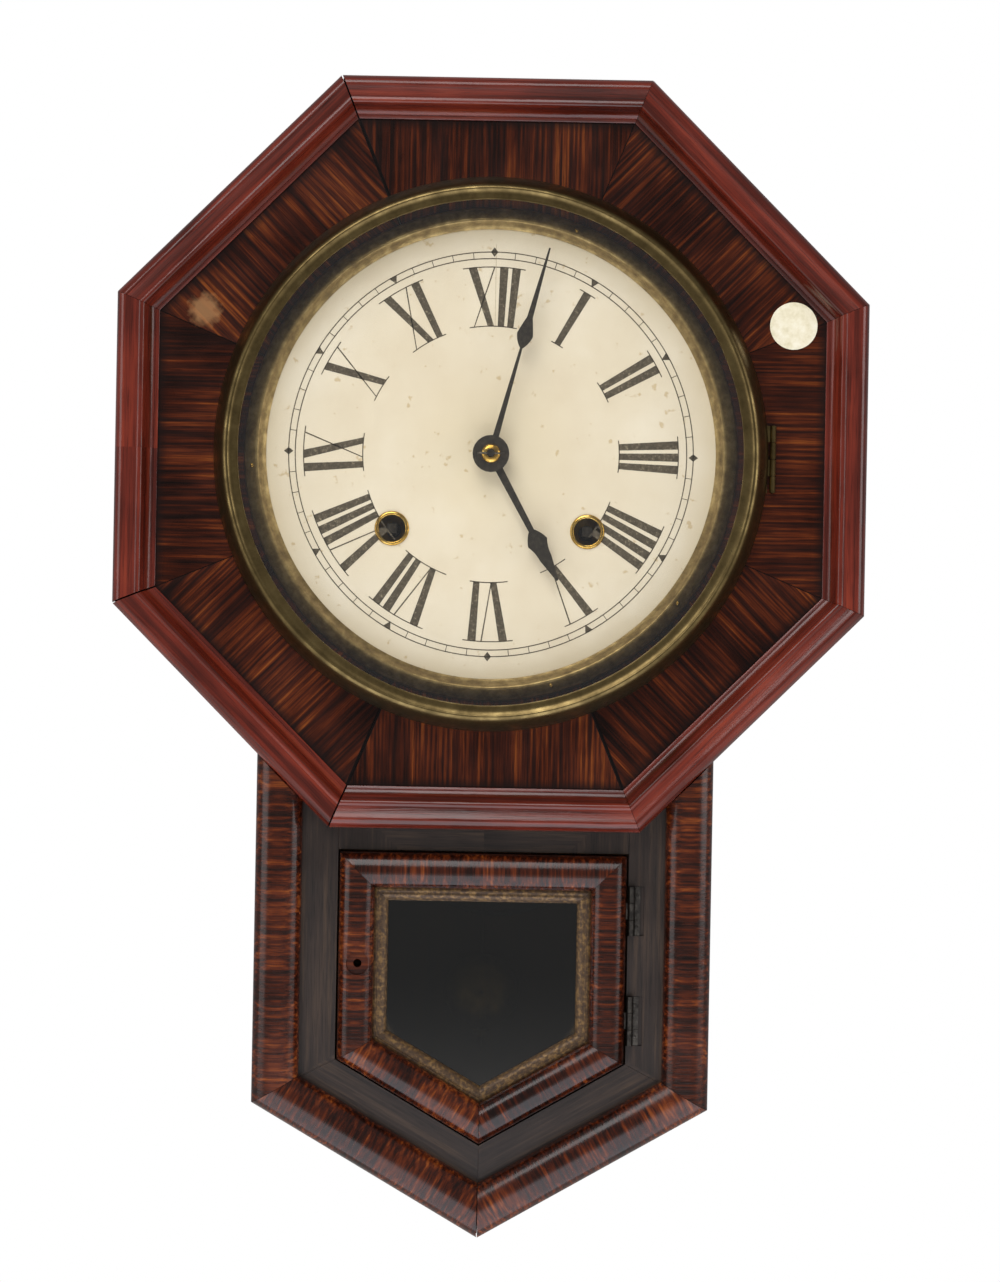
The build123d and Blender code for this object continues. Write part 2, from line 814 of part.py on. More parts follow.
# Bezel: dull convex flange, bright ridge, band and a lip over the glass
bezel_back = panel_front + bezel_lift
bezel_ridge = panel_front + bezel_height
glass_front = bezel_ridge - bezel_glass_depth_below_ridge + glass_thickness
with BuildPart() as bezel:
    with BuildSketch(turning()):
        with BuildLine():
            Polyline(
                (bezel_radius, bezel_back),
                (bezel_radius, bezel_back + bezel_rim_height),
                (bezel_shoulder_radius, bezel_ridge - bezel_shoulder_drop),
                (bezel_ridge_radius, bezel_ridge),
                (bezel_lip_radius, glass_front + seat_gap / 2),
                (bezel_glass_radius + seat_gap, glass_front + seat_gap / 2),
                (bezel_radius - bezel_wall, bezel_back),
                close=True,
            )
        make_face()
    revolve(axis=spindle())

with BuildPart() as bezel_glass:
    extrude(
        bar_face(glass_front - glass_thickness, bezel_glass_radius, sides=dial_sides), amount=glass_thickness
    )

# Bezel hinge: a leaf let edgewise into the panel, a strap soldered under the rim, four knuckles
barrel_depth = panel_front + bezel_barrel_radius + moving_gap
knuckle = bezel_hinge_length / 4
with BuildPart() as bezel_hinge_leaf:
    for place in (0, 2):
        bottom = -bezel_hinge_length / 2 + place * knuckle + moving_gap / 2
        with BuildSketch(looking_down(barrel_x, barrel_depth, bottom)):
            RegularPolygon(bezel_barrel_radius, bore_sides)
            RegularPolygon(bezel_pin_radius + running_fit, bar_sides, major_radius=False, mode=Mode.SUBTRACT)
        extrude(amount=knuckle - moving_gap)
        with BuildSketch(looking_down(barrel_x, barrel_depth, bottom)):
            with Locations((0, bezel_barrel_radius)):
                Rectangle(
                    bezel_strap_thickness,
                    bezel_barrel_radius - bezel_pin_radius,
                    align=(Align.CENTER, Align.MAX),
                )
        extrude(amount=knuckle - moving_gap)
    with BuildSketch(facing(panel_front - bezel_leaf_depth + seat_gap, barrel_x)):
        Rectangle(bezel_strap_thickness, bezel_hinge_length)
    extrude(amount=bezel_leaf_depth - seat_gap + moving_gap / 2)
    for place in (0, 2):
        bottom = -bezel_hinge_length / 2 + place * knuckle + moving_gap / 2
        with BuildSketch(facing(panel_front, barrel_x, bottom + (knuckle - moving_gap) / 2)):
            Rectangle(bezel_strap_thickness, knuckle - moving_gap)
        extrude(amount=moving_gap + bezel_barrel_radius - bezel_pin_radius - running_fit)

with BuildPart() as bezel_hinge_strap:
    for place in (1, 3):
        bottom = -bezel_hinge_length / 2 + place * knuckle + moving_gap / 2
        with BuildSketch(looking_down(barrel_x, barrel_depth, bottom)):
            RegularPolygon(bezel_barrel_radius, bore_sides)
        extrude(amount=knuckle - moving_gap)
        with BuildSketch(facing(bezel_back - seat_gap / 2 - bezel_strap_thickness, barrel_x, bottom)):
            Rectangle(
                bezel_barrel_radius + bezel_strap_reach,
                knuckle - moving_gap,
                align=(Align.MAX, Align.MIN),
            )
        extrude(amount=bezel_strap_thickness)
    with BuildSketch(facing(bezel_back - seat_gap / 2 - bezel_strap_thickness, bezel_radius - moving_gap)):
        Rectangle(
            bezel_strap_reach - bezel_barrel_radius,
            bezel_hinge_length,
            align=(Align.MAX, Align.CENTER),
        )
    extrude(amount=bezel_strap_thickness)
    with BuildSketch(looking_down(barrel_x, barrel_depth, -bezel_hinge_length / 2)):
        RegularPolygon(bezel_pin_radius, bar_sides)
    extrude(amount=bezel_hinge_length)

# Places of the arbors
centre_place = (0, 0)
time_main_place, strike_main_place = winding_places
main_reach = (main_teeth + leaves) * main_module / 2
second_reach = (second_teeth + leaves) * second_module / 2
centre_reach = (fine_teeth + leaves) * centre_module / 2
third_reach = (fine_teeth + leaves) * third_module / 2
motion_reach = (minute_wheel_teeth + motion_leaves) * minute_wheel_module / 2
time_second_place = meet(centre_place, second_reach, time_main_place, main_reach)
escape_place = (0, escape_above_axis)
third_place = meet(escape_place, third_reach, centre_place, centre_reach)
verge_place = (0, verge_above_axis)
minute_wheel_place = (0, -motion_reach)
strike_second_place = meet(strike_main_place, main_reach, centre_place, second_reach + strike_second_clear)
strike_third_place = polar(strike_second_place, second_reach, strike_third_bearing)
strike_third_reach = (strike_teeth + leaves) * strike_third_module / 2
warning_reach = (strike_teeth + leaves) * warning_module / 2
count_reach = (count_teeth + leaves) * count_module / 2
warning_place = polar(strike_third_place, strike_third_reach, warning_bearing)
fly_place = polar(warning_place, warning_reach, fly_bearing)
count_place = polar(strike_second_place, count_reach, count_bearing)
top_pillars = [(-pillar_top_x, pillar_top_z), (pillar_top_x, pillar_top_z)]
strike_pillar = (-pillar_bottom_x, -pillar_bottom_z)
time_pillar = (pillar_bottom_x, -pillar_bottom_z)
pillar_places = [*top_pillars, strike_pillar, time_pillar]

# Layers of the movement, from the wall forwards
main_wheel_depth = front_plate_depth - main_wheel_behind_plate
second_wheel_depth = main_wheel_depth - second_behind_main
centre_wheel_depth = main_wheel_depth + centre_before_main
third_wheel_depth = back_plate_front + third_above_back
escape_wheel_depth = back_plate_front + escape_above_back
strike_third_depth = back_plate_front + strike_third_above_back
warning_depth = back_plate_front + warning_above_back
spring_depth = back_plate_front + spring_above_back
ratchet_depth = main_wheel_depth + main_wheel_thickness + seat_gap
motion_depth = front_plate_front + motion_above_front
hour_wheel_depth = motion_depth + hour_before_motion
count_disc_depth = motion_depth + count_disc_before_motion
hour_hand_depth = dial_front + hour_hand_above_dial
minute_hand_depth = hour_hand_depth + hand_spacing
hour_pipe_radius = minute_arbor_radius + running_fit + hour_pipe_wall
arbor_start = back_plate_front + end_shake
arbor_end = front_plate_depth - end_shake
stud_start = front_plate_front + end_shake


def plate_face(depth, bores):
    with BuildSketch(facing(depth)) as face:
        with BuildLine():
            Polyline(
                (-plate_half_width, -plate_bottom),
                (plate_half_width, -plate_bottom),
                (plate_half_width, plate_shoulder),
                (plate_top_half_width, plate_top),
                (-plate_top_half_width, plate_top),
                (-plate_half_width, plate_shoulder),
                close=True,
            )
        make_face()
        for place, bore in bores:
            with Locations(place):
                bore_in(bore + running_fit)
    return face.sketch


back_bores = [
    (time_main_place, winding_pivot_radius),
    (strike_main_place, winding_pivot_radius),
    (verge_place, arbor_radius),
    (hammer_arbor, arbor_radius),
]
with BuildPart() as back_plate:
    extrude(plate_face(back_plate_depth, back_bores), amount=plate_thickness)

front_bores = [
    (time_main_place, winding_arbor_radius),
    (strike_main_place, winding_arbor_radius),
    (centre_place, tail_arbor_radius),
    (strike_second_place, arbor_radius),
]
with BuildPart() as front_plate:
    extrude(plate_face(front_plate_depth, front_bores), amount=plate_thickness)

with BuildPart() as plate_pillars:
    for place in pillar_places:
        extrude(bar_face(back_plate_front, pillar_radius, place), amount=plate_gap)

with BuildPart() as movement_feet:
    for place in pillar_places:
        foot_length = back_plate_depth - backboard_thickness
        extrude(bar_face(backboard_thickness, foot_radius, place), amount=foot_length)


def add_arbor(place, start=arbor_start, end=arbor_end, radius=arbor_radius):
    extrude(bar_face(start, radius, place), amount=end - start)


def add_wheel(depth, teeth, module, place, towards, bore=0, thickness=train_wheel_thickness):
    bearing = bearing_of(place, towards)
    extrude(wheel_face(depth, teeth, module, place, bearing, bore), amount=thickness)


def add_pinion(depth, module, place, towards, count=leaves, length=pinion_length):
    # a pinion is centred on the thickness of the wheel that drives it
    bearing = bearing_of(place, towards)
    start = depth - (length - train_wheel_thickness) / 2
    extrude(pinion_face(start, count, module, place, bearing), amount=length)


def add_winding_arbor(place, lean):
    # rear pivot, body with its ratchet, and the square for the key
    square_start = dial_front - winding_tip_behind_dial - winding_square_length
    extrude(bar_face(back_plate_depth, winding_pivot_radius, place), amount=plate_thickness + end_shake)
    extrude(
        bar_face(arbor_start, winding_arbor_radius, place, bore_sides),
        amount=square_start - arbor_start,
    )
    extrude(
        saw_face(ratchet_depth, ratchet_radius, ratchet_teeth, ratchet_tooth_depth, place, lean),
        amount=main_wheel_thickness,
    )
    with BuildSketch(facing(square_start, *place)) as square:
        Rectangle(winding_square, winding_square)
    extrude(square.sketch, amount=winding_square_length)


def add_click(place, lean):
    # pawl riveted to the great wheel, its nose just clear of the ratchet
    pivot = polar(place, ratchet_radius + click_pivot_clear, 90 - lean * click_pivot_turn)
    nose = polar(place, ratchet_radius + moving_gap, 90 + lean * click_nose_turn)
    along = bearing_of(pivot, nose)
    with BuildSketch(facing(ratchet_depth, *pivot)) as pawl:
        RegularPolygon(click_width / 2, bore_sides)
        with BuildLine():
            Polyline(
                polar((0, 0), click_width / click_taper, along + 90),
                polar((0, 0), math.dist(pivot, nose), along),
                polar((0, 0), click_width / click_taper, along - 90),
                close=True,
            )
        make_face()
    extrude(pawl.sketch, amount=main_wheel_thickness)


def add_mainspring(place, pillar, lean):
    # open spring: inner coil round the arbor, outer end led to the lower pillar
    reach = math.dist(place, pillar) - pillar_radius - spring_strip / 2 - moving_gap
    outer = spring_inner_radius + spring_pitch * spring_turns
    last_steps = spring_facets_per_turn // 3
    steps = int(spring_turns * spring_facets_per_turn) + last_steps
    tail = [outer + (reach - outer) * (step + 1) / last_steps for step in range(last_steps)]
    start = bearing_of(place, pillar) - lean * steps * 360 / spring_facets_per_turn
    coil = spiral_face(
        spring_depth,
        place,
        spring_inner_radius,
        spring_pitch,
        spring_turns,
        spring_strip,
        spring_facets_per_turn,
        start,
        lean,
        tail,
    )
    extrude(coil, amount=spring_width)


# Time side, from the spring to the escapement
winding_bore = winding_arbor_radius + running_fit
with BuildPart() as time_main_wheel:
    add_wheel(
        main_wheel_depth,
        main_teeth,
        main_module,
        time_main_place,
        time_second_place,
        winding_bore,
        main_wheel_thickness,
    )
with BuildPart() as time_winding_arbor:
    add_winding_arbor(time_main_place, 1)
with BuildPart() as time_click:
    add_click(time_main_place, 1)

with BuildPart() as time_second_wheel:
    add_arbor(time_second_place)
    add_pinion(main_wheel_depth, main_module, time_second_place, time_main_place)
    add_wheel(second_wheel_depth, second_teeth, second_module, time_second_place, centre_place)

# Centre wheel and its pinion, held to the minute arbor by friction
centre_bore = tail_arbor_radius + running_fit
centre_pinion_start = second_wheel_depth - pinion_before_centre
with BuildPart() as centre_wheel:
    extrude(
        pinion_face(
            centre_pinion_start,
            leaves,
            second_module,
            centre_place,
            bearing_of(centre_place, time_second_place),
            centre_bore,
        ),
        amount=centre_wheel_depth - centre_pinion_start,
    )
    add_wheel(centre_wheel_depth, fine_teeth, centre_module, centre_place, third_place, centre_bore)

with BuildPart() as third_wheel:
    add_arbor(third_place)
    add_pinion(centre_wheel_depth, centre_module, third_place, centre_place)
    add_wheel(third_wheel_depth, fine_teeth, third_module, third_place, escape_place)

with BuildPart() as escape_wheel:
    add_arbor(escape_place)
    add_pinion(third_wheel_depth, third_module, escape_place, third_place)
    extrude(
        saw_face(escape_wheel_depth, escape_radius, escape_teeth, escape_tooth_depth, escape_place),
        amount=train_wheel_thickness,
    )

# Verge: anchor arched over the escape wheel, arbor, crutch and its fork round the pendulum rod
verge_tail_depth = pendulum_depth + crutch_before_pendulum
fork_depth = pendulum_depth - suspension_width / 2
with BuildPart() as verge:
    add_arbor(verge_place, verge_tail_depth)
    with BuildSketch(facing(escape_wheel_depth - train_wheel_thickness / 2, *escape_place)):
        arc_ends = [90 - verge_arc_half_angle, 90 + verge_arc_half_angle]
        with BuildLine():
            CenterArc((0, 0), verge_arc_radius, arc_ends[0], 2 * verge_arc_half_angle)
            CenterArc((0, 0), verge_arc_radius + verge_arc_width, arc_ends[0], 2 * verge_arc_half_angle)
            for arc_end in arc_ends:
                Line(
                    polar((0, 0), verge_arc_radius, arc_end),
                    polar((0, 0), verge_arc_radius + verge_arc_width, arc_end),
                )
        make_face()
    extrude(amount=2 * train_wheel_thickness)
    with BuildSketch(facing(verge_tail_depth, *verge_place)):
        Rectangle(crutch_width, crutch_length, align=(Align.CENTER, Align.MAX))
        RegularPolygon(crutch_width / 2, bar_sides)
    extrude(amount=crutch_thickness)
    with BuildSketch(facing(fork_depth, 0, verge_above_axis - crutch_length)):
        for side in (-1, 1):
            with Locations((side * (rod_radius + moving_gap + fork_prong / 2), fork_height / 2)):
                Rectangle(fork_prong, fork_height)
    extrude(amount=verge_tail_depth + crutch_thickness - fork_depth)

# Suspension cock on the back plate, and the pendulum
cock_tip_depth = pendulum_depth - suspension_width / 2 - cock_before_tip
with BuildPart() as suspension_cock:
    with BuildSketch(facing(cock_tip_depth, 0, verge_above_axis + crutch_width / 2 + moving_gap)):
        Rectangle(cock_width, cock_height, align=(Align.CENTER, Align.MIN))
    extrude(amount=back_plate_depth - cock_tip_depth)
    with BuildSketch(facing(cock_tip_depth, 0, verge_above_axis + moving_gap)):
        Rectangle(cock_width / 2, cock_height / 2, align=(Align.CENTER, Align.MIN))
    extrude(amount=verge_tail_depth - cock_tip_depth - moving_gap)

with BuildPart() as suspension_spring:
    with BuildSketch(facing(fork_depth, *verge_place)):
        Rectangle(suspension_thickness, suspension_length, align=(Align.CENTER, Align.MAX))
    extrude(amount=suspension_width)

clamp_bottom = verge_above_axis - suspension_length - clamp_height
rod_bottom = -bob_below_axis - bob_radius - rod_end_below_bob
with BuildPart() as pendulum_rod:
    with BuildSketch(looking_down(0, pendulum_depth, rod_bottom)):
        RegularPolygon(rod_radius, bore_sides)
    extrude(amount=clamp_bottom - rod_bottom)
    with BuildSketch(looking_down(0, pendulum_depth, clamp_bottom)):
        Rectangle(2 * rod_radius, suspension_width)
    extrude(amount=clamp_height)

# Bob: a brass lens pierced for the rod
with BuildPart() as pendulum_bob:
    with BuildSketch(turning(0, -bob_below_axis)):
        with BuildLine():
            Polyline(
                (0, pendulum_depth - bob_thickness / 2),
                (bob_flat_radius, pendulum_depth - bob_thickness / 2),
                (bob_radius, pendulum_depth - bob_edge / 2),
                (bob_radius, pendulum_depth + bob_edge / 2),
                (bob_flat_radius, pendulum_depth + bob_thickness / 2),
                (0, pendulum_depth + bob_thickness / 2),
                close=True,
            )
        make_face()
    revolve(axis=spindle(0, -bob_below_axis))
    with BuildSketch(looking_down(0, pendulum_depth, -bob_below_axis - bob_radius)):
        RegularPolygon(rod_radius + running_fit, bar_sides, major_radius=False)
    extrude(amount=2 * bob_radius, mode=Mode.SUBTRACT)

nut_bottom = -bob_below_axis - bob_radius - seat_gap - rating_nut_height
with BuildPart() as rating_nut:
    with BuildSketch(looking_down(0, pendulum_depth, nut_bottom)):
        RegularPolygon(rating_nut_radius, bore_sides)
        bore_in(rod_radius + running_fit)
    extrude(amount=rating_nut_height)

# Minute arbor with its motion pinion, stepped and squared for the minute hand
collet_depth = minute_hand_depth + hand_thickness
pin_depth = collet_depth + collet_height + hand_pin_radius
arbor_tip = pin_depth + arbor_beyond_pin


def along_pin(half_length):
    # plane square to the taper pin, at its left end
    return Plane(origin=(-half_length, -pin_depth, dial_z), x_dir=(0, 1, 0), z_dir=(1, 0, 0))


with BuildPart() as minute_arbor:
    add_arbor(centre_place, end=stud_start, radius=tail_arbor_radius)
    extrude(
        bar_face(stud_start, minute_arbor_radius, sides=bore_sides),
        amount=minute_hand_depth - stud_start,
    )
    add_pinion(
        motion_depth,
        minute_wheel_module,
        centre_place,
        minute_wheel_place,
        motion_leaves,
        motion_pinion_length,
    )
    with BuildSketch(facing(minute_hand_depth, clockwise=minute_hand_bearing)):
        Rectangle(hand_square, hand_square)
    extrude(amount=arbor_tip - minute_hand_depth)
    pin_hole = 2 * (hand_pin_radius + running_fit)
    with BuildSketch(along_pin(minute_arbor_radius)):
        Rectangle(pin_hole, pin_hole)
    extrude(amount=2 * minute_arbor_radius, mode=Mode.SUBTRACT)


def hand_face(depth, bearing, length, widths, bulb):
    # hand with a round hub, tapered stem, oval bulb and long taper to the tip
    stem, neck, tip = widths
    start, middle, end, width = bulb
    points = [
        (stem / 2, 0),
        (neck / 2, start),
        (width * hand_lower_swell, (start + middle) / 2),
        (width / 2, middle),
        (width * hand_upper_swell, (middle + end) / 2),
        (neck * hand_shoulder_swell, end),
        (tip / 2, length),
    ]
    with BuildSketch(facing(depth, clockwise=bearing)) as face:
        with BuildLine():
            for side in (-1, 1):
                stem_foot, neck_end, lower, belly, upper, shoulder, point = [(side * x, y) for x, y in points]
                Line(stem_foot, neck_end)
                ThreePointArc(neck_end, lower, belly)
                ThreePointArc(belly, upper, shoulder)
                Line(shoulder, point)
            Line((-tip / 2, length), (tip / 2, length))
            Line((-stem / 2, 0), (stem / 2, 0))
        make_face()
        RegularPolygon(hand_hub_radius, ring_sides)
    return face.sketch


with BuildPart() as minute_hand:
    extrude(
        hand_face(
            minute_hand_depth,
            minute_hand_bearing,
            minute_hand_length,
            (minute_stem_width, minute_neck_width, minute_tip_width),
            (minute_bulb_start, minute_bulb_middle, minute_bulb_end, minute_bulb_width),
        ),
        amount=hand_thickness,
    )
    with BuildSketch(facing(minute_hand_depth, clockwise=minute_hand_bearing)):
        Rectangle(hand_square + running_fit, hand_square + running_fit)
    extrude(amount=hand_thickness, mode=Mode.SUBTRACT)

with BuildPart() as hour_hand:
    extrude(
        hand_face(
            hour_hand_depth,
            hour_hand_bearing,
            hour_hand_length,
            (hour_stem_width, hour_neck_width, hour_tip_width),
            (hour_bulb_start, hour_bulb_middle, hour_bulb_end, hour_bulb_width),
        ),
        amount=hand_thickness,
    )
    extrude(
        bar_face(hour_hand_depth, hour_pipe_radius, sides=bore_sides),
        amount=hand_thickness,
        mode=Mode.SUBTRACT,
    )

# Domed brass collet over the minute hand, and the taper pin in front of it
with BuildPart() as hand_collet:
    collet_foot = bar_face(collet_depth, collet_radius, sides=ring_sides)
    collet_top = bar_face(collet_depth + collet_height, collet_top_radius, sides=ring_sides)
    loft([collet_foot, collet_top], ruled=True)
    with BuildSketch(facing(collet_depth, clockwise=minute_hand_bearing)):
        Rectangle(hand_square + running_fit, hand_square + running_fit)
    extrude(amount=collet_height, mode=Mode.SUBTRACT)

with BuildPart() as hand_pin:
    with BuildSketch(along_pin(hand_pin_length / 2)):
        RegularPolygon(hand_pin_radius, bar_sides)
    extrude(amount=hand_pin_length)

# Motion work: minute wheel on its stud, hour wheel on its pipe
pipe_bore = minute_arbor_radius + running_fit
with BuildPart() as minute_wheel:
    add_arbor(minute_wheel_place, stud_start, hour_wheel_depth + minute_stud_past_wheel)
    add_wheel(motion_depth, minute_wheel_teeth, minute_wheel_module, minute_wheel_place, centre_place)
    add_pinion(
        hour_wheel_depth,
        hour_wheel_module,
        minute_wheel_place,
        centre_place,
        motion_leaves,
        motion_pinion_length,
    )

with BuildPart() as hour_wheel:
    add_wheel(
        hour_wheel_depth,
        hour_wheel_teeth,
        hour_wheel_module,
        centre_place,
        minute_wheel_place,
        pipe_bore,
    )
    with BuildSketch(facing(hour_wheel_depth)):
        RegularPolygon(hour_pipe_radius - running_fit, bore_sides)
        bore_in(pipe_bore)
    extrude(amount=hour_hand_depth + hand_thickness + pipe_past_hand - hour_wheel_depth)

# Strike side, from the spring to the fly
with BuildPart() as strike_main_wheel:
    add_wheel(
        main_wheel_depth,
        main_teeth,
        main_module,
        strike_main_place,
        strike_second_place,
        winding_bore,
        main_wheel_thickness,
    )
with BuildPart() as strike_winding_arbor:
    add_winding_arbor(strike_main_place, -1)
with BuildPart() as strike_click:
    add_click(strike_main_place, -1)

with BuildPart() as mainsprings:
    add_mainspring(time_main_place, time_pillar, -1)
    add_mainspring(strike_main_place, strike_pillar, 1)

with BuildPart() as strike_second_wheel:
    add_arbor(strike_second_place, end=count_disc_depth - moving_gap)
    add_pinion(main_wheel_depth, main_module, strike_second_place, strike_main_place)
    add_wheel(second_wheel_depth, second_teeth, second_module, strike_second_place, strike_third_place)
    with BuildSketch(facing(second_wheel_depth - lifting_pin_length, *strike_second_place)):
        with PolarLocations(lifting_pin_circle, lifting_pins):
            RegularPolygon(lifting_pin_radius, bar_sides)
    extrude(amount=lifting_pin_length)
    add_pinion(
        motion_depth + count_before_motion,
        count_module,
        strike_second_place,
        count_place,
        length=count_pinion_length,
    )

with BuildPart() as strike_third_wheel:
    add_arbor(strike_third_place)
    add_pinion(second_wheel_depth, second_module, strike_third_place, strike_second_place)
    add_wheel(strike_third_depth, strike_teeth, strike_third_module, strike_third_place, warning_place)

with BuildPart() as warning_wheel:
    add_arbor(warning_place)
    add_pinion(strike_third_depth, strike_third_module, warning_place, strike_third_place)
    add_wheel(warning_depth, strike_teeth, warning_module, warning_place, fly_place)

with BuildPart() as fly:
    add_arbor(fly_place)
    add_pinion(warning_depth, warning_module, fly_place, warning_place)
    with BuildSketch(facing(front_plate_depth - fly_behind_plate - fly_length, *fly_place)):
        Rectangle(2 * fly_half_width, fly_thickness, rotation=fly_turn)
    extrude(amount=fly_length)

# Count wheel: toothed wheel behind a disc with a slot after each run of blows
blows = [sum(range(1, hour + 1)) for hour in range(1, 13)]
with BuildPart() as count_wheel:
    add_arbor(count_place, stud_start, count_disc_depth + arbor_past_disc)
    add_wheel(motion_depth + count_before_motion, count_teeth, count_module, count_place, strike_second_place)
    with BuildSketch(facing(count_disc_depth, *count_place)):
        RegularPolygon(count_radius, count_rim_sides)
        for blow in blows:
            with PolarLocations(count_radius, 1, start_angle=blow * 360 / blows[-1]):
                Rectangle(2 * count_slot_depth, count_slot_width, mode=Mode.SUBTRACT)
    extrude(amount=train_wheel_thickness)

# Strike lever: its hook hangs just clear of the rim of the count wheel
with BuildPart() as strike_lever:
    add_arbor(lever_arbor, stud_start, count_disc_depth + arbor_past_disc, 1.5 * arbor_radius)
    with BuildSketch(facing(count_disc_depth, *lever_arbor)):
        with Locations(Rotation(0, 0, bearing_of(lever_arbor, count_place))):
            Rectangle(
                math.dist(lever_arbor, count_place) - count_radius - moving_gap,
                lever_width,
                align=(Align.MIN, Align.CENTER),
            )
    extrude(amount=train_wheel_thickness)

# Hammer: arbor, tail, rod and leather-nosed head
coil_depth = backboard_thickness + gong_stand_height
head_depth = coil_depth + gong_wire_depth / 2
rod_bearing = math.radians(bearing_of(hammer_arbor, hammer_head_place))
rod_length = math.dist(hammer_arbor, hammer_head_place)
rod_run = Vector(math.cos(rod_bearing), 0, math.sin(rod_bearing))
blow_run = Vector(-rod_run.Z, 0, rod_run.X)
rod_start = facing(hammer_rod_depth, *hammer_arbor).origin
head_start = facing(head_depth, *hammer_head_place).origin - blow_run * (hammer_head_length / 2)
with BuildPart() as hammer:
    add_arbor(hammer_arbor, start=hammer_rod_depth - hammer_rod_radius)
    with BuildSketch(facing(second_wheel_depth - lifting_pin_length, *hammer_arbor)):
        with Locations(Rotation(0, 0, bearing_of(hammer_arbor, strike_second_place))):
            Rectangle(hammer_tail, lever_width, align=(Align.MIN, Align.CENTER))
    extrude(amount=train_wheel_thickness)
    with BuildSketch(Plane(origin=rod_start, x_dir=(0, -1, 0), z_dir=rod_run)):
        RegularPolygon(hammer_rod_radius, bar_sides)
    extrude(amount=rod_length)
    with BuildSketch(Plane(origin=head_start, x_dir=(0, -1, 0), z_dir=blow_run)):
        RegularPolygon(hammer_head_radius, bore_sides)
    extrude(amount=hammer_head_length)

# Gong: cast stand on the backboard and a flat coil on its boss
with BuildPart() as gong_stand:
    with BuildSketch(facing(backboard_thickness, *gong_centre)):
        RegularPolygon(gong_flange_radius, 2 * bore_sides)
    extrude(amount=gong_flange_height)
    extrude(
        bar_face(backboard_thickness, gong_boss_radius, gong_centre, bore_sides),
        amount=gong_stand_height,
    )

gong_inner = gong_radius - gong_wire / 2 - gong_turns * gong_pitch
gong_spiral = spiral_face(
    coil_depth,
    gong_centre,
    gong_inner,
    gong_pitch,
    gong_turns,
    gong_wire,
    gong_facets_per_turn,
    90,
    -1,
)
with BuildPart() as gong_coil:
    extrude(gong_spiral, amount=gong_wire_depth)
    with BuildSketch(facing(coil_depth, *gong_centre)):
        Rectangle(gong_wire, gong_inner + gong_wire / 2, align=(Align.CENTER, Align.MIN))
        RegularPolygon(gong_boss_radius, bore_sides)
    extrude(amount=gong_wire_depth)

pieces = {
    "backboard": backboard,
    "left_side_board": left_side_board,
    "right_side_board": right_side_board,
    "left_bottom_board": left_bottom_board,
    "right_bottom_board": right_bottom_board,
    "top_board": top_board,
    "hanger_plate": hanger_plate,
    "octagon_panel": octagon_panel,
    "octagon_moulding": octagon_moulding,
    "front_frame": front_frame,
    "drop_moulding": drop_moulding,
    "door_frame": door_frame,
    "door_beads": door_beads,
    "door_glass": door_glass,
    "door_hinge_case_leaves": door_hinge_case_leaves,
    "door_hinge_leaves": door_hinge_leaves,
    "dial_plate": dial_plate,
    "sight_ring": sight_ring,
    "winding_grommets": winding_grommets,
    "bezel": bezel,
    "bezel_glass": bezel_glass,
    "bezel_hinge_leaf": bezel_hinge_leaf,
    "bezel_hinge_strap": bezel_hinge_strap,
    "back_plate": back_plate,
    "front_plate": front_plate,
    "plate_pillars": plate_pillars,
    "movement_feet": movement_feet,
    "mainsprings": mainsprings,
    "time_main_wheel": time_main_wheel,
    "time_winding_arbor": time_winding_arbor,
    "time_click": time_click,
    "time_second_wheel": time_second_wheel,
    "centre_wheel": centre_wheel,
    "third_wheel": third_wheel,
    "escape_wheel": escape_wheel,
    "verge": verge,
    "suspension_cock": suspension_cock,
    "suspension_spring": suspension_spring,
    "pendulum_rod": pendulum_rod,
    "pendulum_bob": pendulum_bob,
    "rating_nut": rating_nut,
    "minute_arbor": minute_arbor,
    "minute_hand": minute_hand,
    "hour_hand": hour_hand,
    "hand_collet": hand_collet,
    "hand_pin": hand_pin,
    "minute_wheel": minute_wheel,
    "hour_wheel": hour_wheel,
    "strike_main_wheel": strike_main_wheel,
    "strike_winding_arbor": strike_winding_arbor,
    "strike_click": strike_click,
    "strike_second_wheel": strike_second_wheel,
    "strike_third_wheel": strike_third_wheel,
    "warning_wheel": warning_wheel,
    "fly": fly,
    "count_wheel": count_wheel,
    "strike_lever": strike_lever,
    "hammer": hammer,
    "gong_stand": gong_stand,
    "gong_coil": gong_coil,
}

os.makedirs("parts", exist_ok=True)
for label, piece in pieces.items():
    piece.part.label = label
    export_step(piece.part, f"parts/{label}.step")
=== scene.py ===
import bpy
import bmesh
import math
from mathutils import Matrix, Vector


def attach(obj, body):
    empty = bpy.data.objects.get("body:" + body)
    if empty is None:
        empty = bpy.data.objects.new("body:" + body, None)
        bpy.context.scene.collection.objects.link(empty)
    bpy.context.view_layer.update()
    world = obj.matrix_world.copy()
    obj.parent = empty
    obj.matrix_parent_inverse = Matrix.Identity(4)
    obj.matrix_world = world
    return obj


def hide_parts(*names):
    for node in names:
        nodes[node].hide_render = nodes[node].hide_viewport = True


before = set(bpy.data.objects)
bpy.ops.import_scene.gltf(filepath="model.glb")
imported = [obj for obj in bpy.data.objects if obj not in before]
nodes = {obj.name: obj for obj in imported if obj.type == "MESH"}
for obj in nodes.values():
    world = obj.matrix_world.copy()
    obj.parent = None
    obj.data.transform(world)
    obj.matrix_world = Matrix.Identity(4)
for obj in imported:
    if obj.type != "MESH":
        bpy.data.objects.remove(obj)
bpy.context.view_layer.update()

# The object's frame: x to the right, z up, the wall at y = 0. Sizes below are in millimetres,
# depths are measured forwards from the wall and heights from the hand axis.
handAxis = -140.0
angleStep = math.radians(45)


